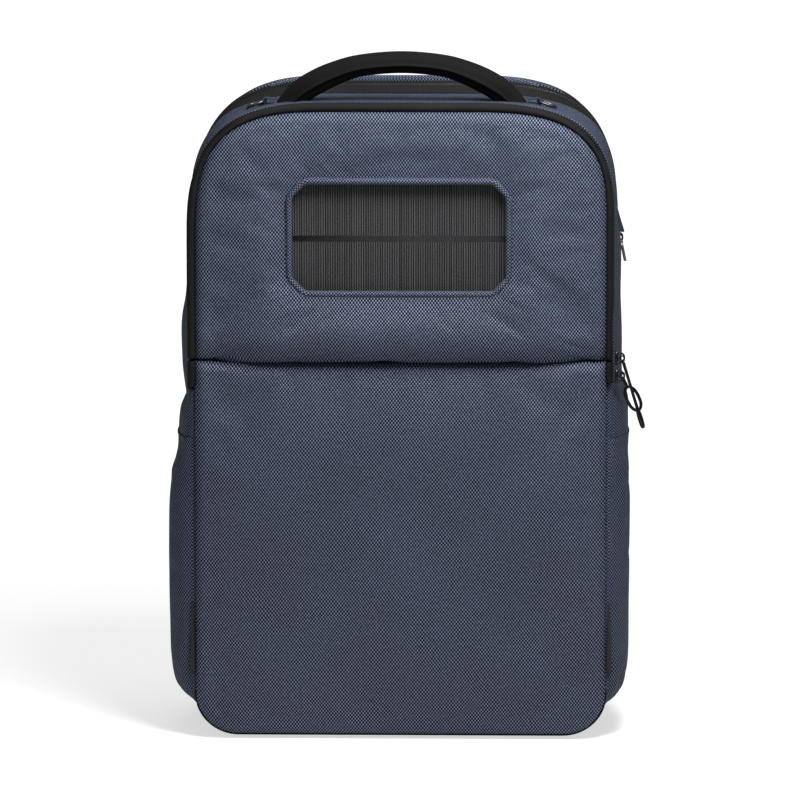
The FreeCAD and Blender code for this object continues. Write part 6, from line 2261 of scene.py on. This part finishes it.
def battery_sleeve():
    """The mesh battery sleeve inside the lid, with its elastic hem."""
    low, high = cad_box("battery_sleeve")
    half_x = high[0] - 1
    # The end columns are doubled, so that the smoothing leaves the sides where they are.
    xs = np.r_[-half_x, np.linspace(-half_x, half_x, 31), half_x]
    rows = []
    zs = np.linspace(low[2], high[2] - 2, 19)
    for z in zs:
        fill = step_between(0, 14, z - low[2])
        sag = 1 - 0.28 * step_between(60, 92, z - low[2])
        line = []
        for x in xs:
            edge = half_x - abs(x)
            depth = (high[1] - low[1] - 1.5) * edge_round(edge, 12) * fill * sag
            ripple = 0.6 * math.sin(x / 5.5) * step_between(50, 92, z - low[2]) * edge_round(edge, 20)
            line.append((x, low[1] + 0.6 + float(depth) + float(ripple), z))
        rows.append(line)
    obj = grid_object("battery_sleeve_cover", rows, xs, zs, MESH)
    face_outward(obj, (0, -100, 360))
    thicken(obj, 0.9)
    smooth_more(obj)
    finish(obj, "front_lid", "mesh_fabric", "battery_sleeve")
    hem_line = np.array(rows[-1][1:-1]) + (0, 0, 0.5)
    hem = tube("sleeve_hem", hem_line, 2.4, ELASTIC, sides=10, flat=0.5, up=(0, 1, 0))
    finish(smooth_more(hem), "front_lid", "mesh_fabric")


def plain_parts():
    """Finishes the plain CAD parts that stay in view."""
    dress("charge_controller", PLASTIC, 1.0)
    dress("charging_cable", RUBBER)
    dress("cable_plug", GREY_METAL, 0.5)
    dress("frame_sheet", SHEET)
    for side_name, _ in SIDES:
        dress(f"{side_name}_ladder_lock", PLASTIC, 0.7)


# ---------------------------------------------------------------- studio

# How bright the world is as a light; how much the floor glows near the pack, and what
# part of that glow lights other things.
WORLD_LIGHT = 0.15
FLOOR_GLOW = 0.62
FLOOR_LIGHT = 0.15
# Each lamp's name, place, target, size in metres and power.
LAMPS = (
    ("key", (0.16, -0.42, 0.9), (0, -0.08, 0.36), 0.34, 7.6),
    ("top", (0.05, 0.15, 1.6), (0, 0, 0.4), 1.0, 4),
)
CAMERA_PLACE = (0.0893, -4.08, 0.765)
CAMERA_TARGET = (-0.0012, -0.04, 0.2364)
# Half of the camera's view, in degrees.
CAMERA_HALF_VIEW = 3.992


def floor_material():
    """A plain pale floor that glows a little, so that only contact shadows show on it."""
    n = Nodes("floor")
    shade = n.ramp(n.noise(n.solid_mm(), 0.002, 2.0), 0.90, 0.92)
    shader = n.add("ShaderNodeBsdfDiffuse", {"Color": n.scaled((1.0, 1.0, 1.0), shade)})
    place = n.add("ShaderNodeNewGeometry").outputs["Position"]
    distance = n.add("ShaderNodeVectorMath", {"Vector": place}, operation="LENGTH").outputs["Value"]
    seen = n.add("ShaderNodeLightPath").outputs["Is Camera Ray"]
    share = n.ramp(seen, FLOOR_LIGHT, 1.0)
    strength = n.math("MULTIPLY", n.ramp(distance, FLOOR_GLOW, 1.0, 0.6, 2.0), share)
    glow = n.add("ShaderNodeEmission", {"Color": (1.0, 1.0, 1.0, 1.0), "Strength": strength})
    both = n.add("ShaderNodeAddShader")
    n.tree.links.new(shader.outputs[0], both.inputs[0])
    n.tree.links.new(glow.outputs[0], both.inputs[1])
    out = n.add("ShaderNodeOutputMaterial")
    n.tree.links.new(both.outputs[0], out.inputs["Surface"])
    return n.material


def world_light():
    """White where the camera sees it, softer as a light."""
    world = bpy.data.worlds.new("studio")
    bpy.context.scene.world = world
    world.use_nodes = True
    tree = world.node_tree
    tree.nodes.clear()
    path = tree.nodes.new("ShaderNodeLightPath")
    strength = tree.nodes.new("ShaderNodeMapRange")
    strength.inputs["To Min"].default_value = WORLD_LIGHT
    strength.inputs["To Max"].default_value = 1.0
    background = tree.nodes.new("ShaderNodeBackground")
    background.inputs["Color"].default_value = (1.0, 1.0, 1.0, 1.0)
    out = tree.nodes.new("ShaderNodeOutputWorld")
    tree.links.new(path.outputs["Is Camera Ray"], strength.inputs["Value"])
    tree.links.new(strength.outputs[0], background.inputs["Strength"])
    tree.links.new(background.outputs[0], out.inputs["Surface"])


def studio():
    """A plain pale floor, soft light and the camera."""
    mesh = bpy.data.meshes.new("floor")
    reach, drop = 60.0, -0.0008
    corners = [(-reach, -reach), (reach, -reach), (reach, reach), (-reach, reach)]
    mesh.from_pydata([(x, y, drop) for x, y in corners], [], [(0, 1, 2, 3)])
    mesh.materials.append(floor_material())
    floor = bpy.data.objects.new("floor", mesh)
    bpy.context.scene.collection.objects.link(floor)
    world_light()

    for name, place, target, size, power in LAMPS:
        lamp = bpy.data.lights.new(name, "AREA")
        lamp.shape = "DISK"
        lamp.size = size
        lamp.energy = power
        obj = bpy.data.objects.new(name, lamp)
        obj.location = place
        obj.rotation_euler = aim(place, target)
        bpy.context.scene.collection.objects.link(obj)

    camera = bpy.data.cameras.new("camera")
    camera.sensor_width = 36.0
    camera.lens = 18.0 / math.tan(math.radians(CAMERA_HALF_VIEW))
    camera.clip_end = 200.0
    eye = bpy.data.objects.new("camera", camera)
    eye.location = CAMERA_PLACE
    eye.rotation_euler = aim(CAMERA_PLACE, CAMERA_TARGET)
    bpy.context.scene.collection.objects.link(eye)
    bpy.context.scene.camera = eye
    bpy.context.scene.view_settings.view_transform = "Standard"
    bpy.context.scene.view_settings.look = "None"


def aim(place, target):
    """The rotation that points a lamp or camera from place to target."""
    return (Vector(target) - Vector(place)).to_track_quat("-Z", "Y").to_euler()


# ---------------------------------------------------------------- build

upper_panel()
lower_panel()
panel_backs()
crease_shade_fold()
window_rim()
solar_cells()
main_zipper()
zipper_ends()
main_gusset()
lower_seam()
laptop_band()
rear_gusset()
rear_gusset_edge()
main_lining()
divider()
side_pockets()
base()
back_panel()
back_pads()
yoke()
strap_anchors()
shoulder_straps()
strap_webbing()
top_handle()
handle_patches()
attachment_rings()
sliders()
upper_pull()
lower_pull()
laptop_pull()
zipper_garage()
battery_sleeve()
plain_parts()
studio()
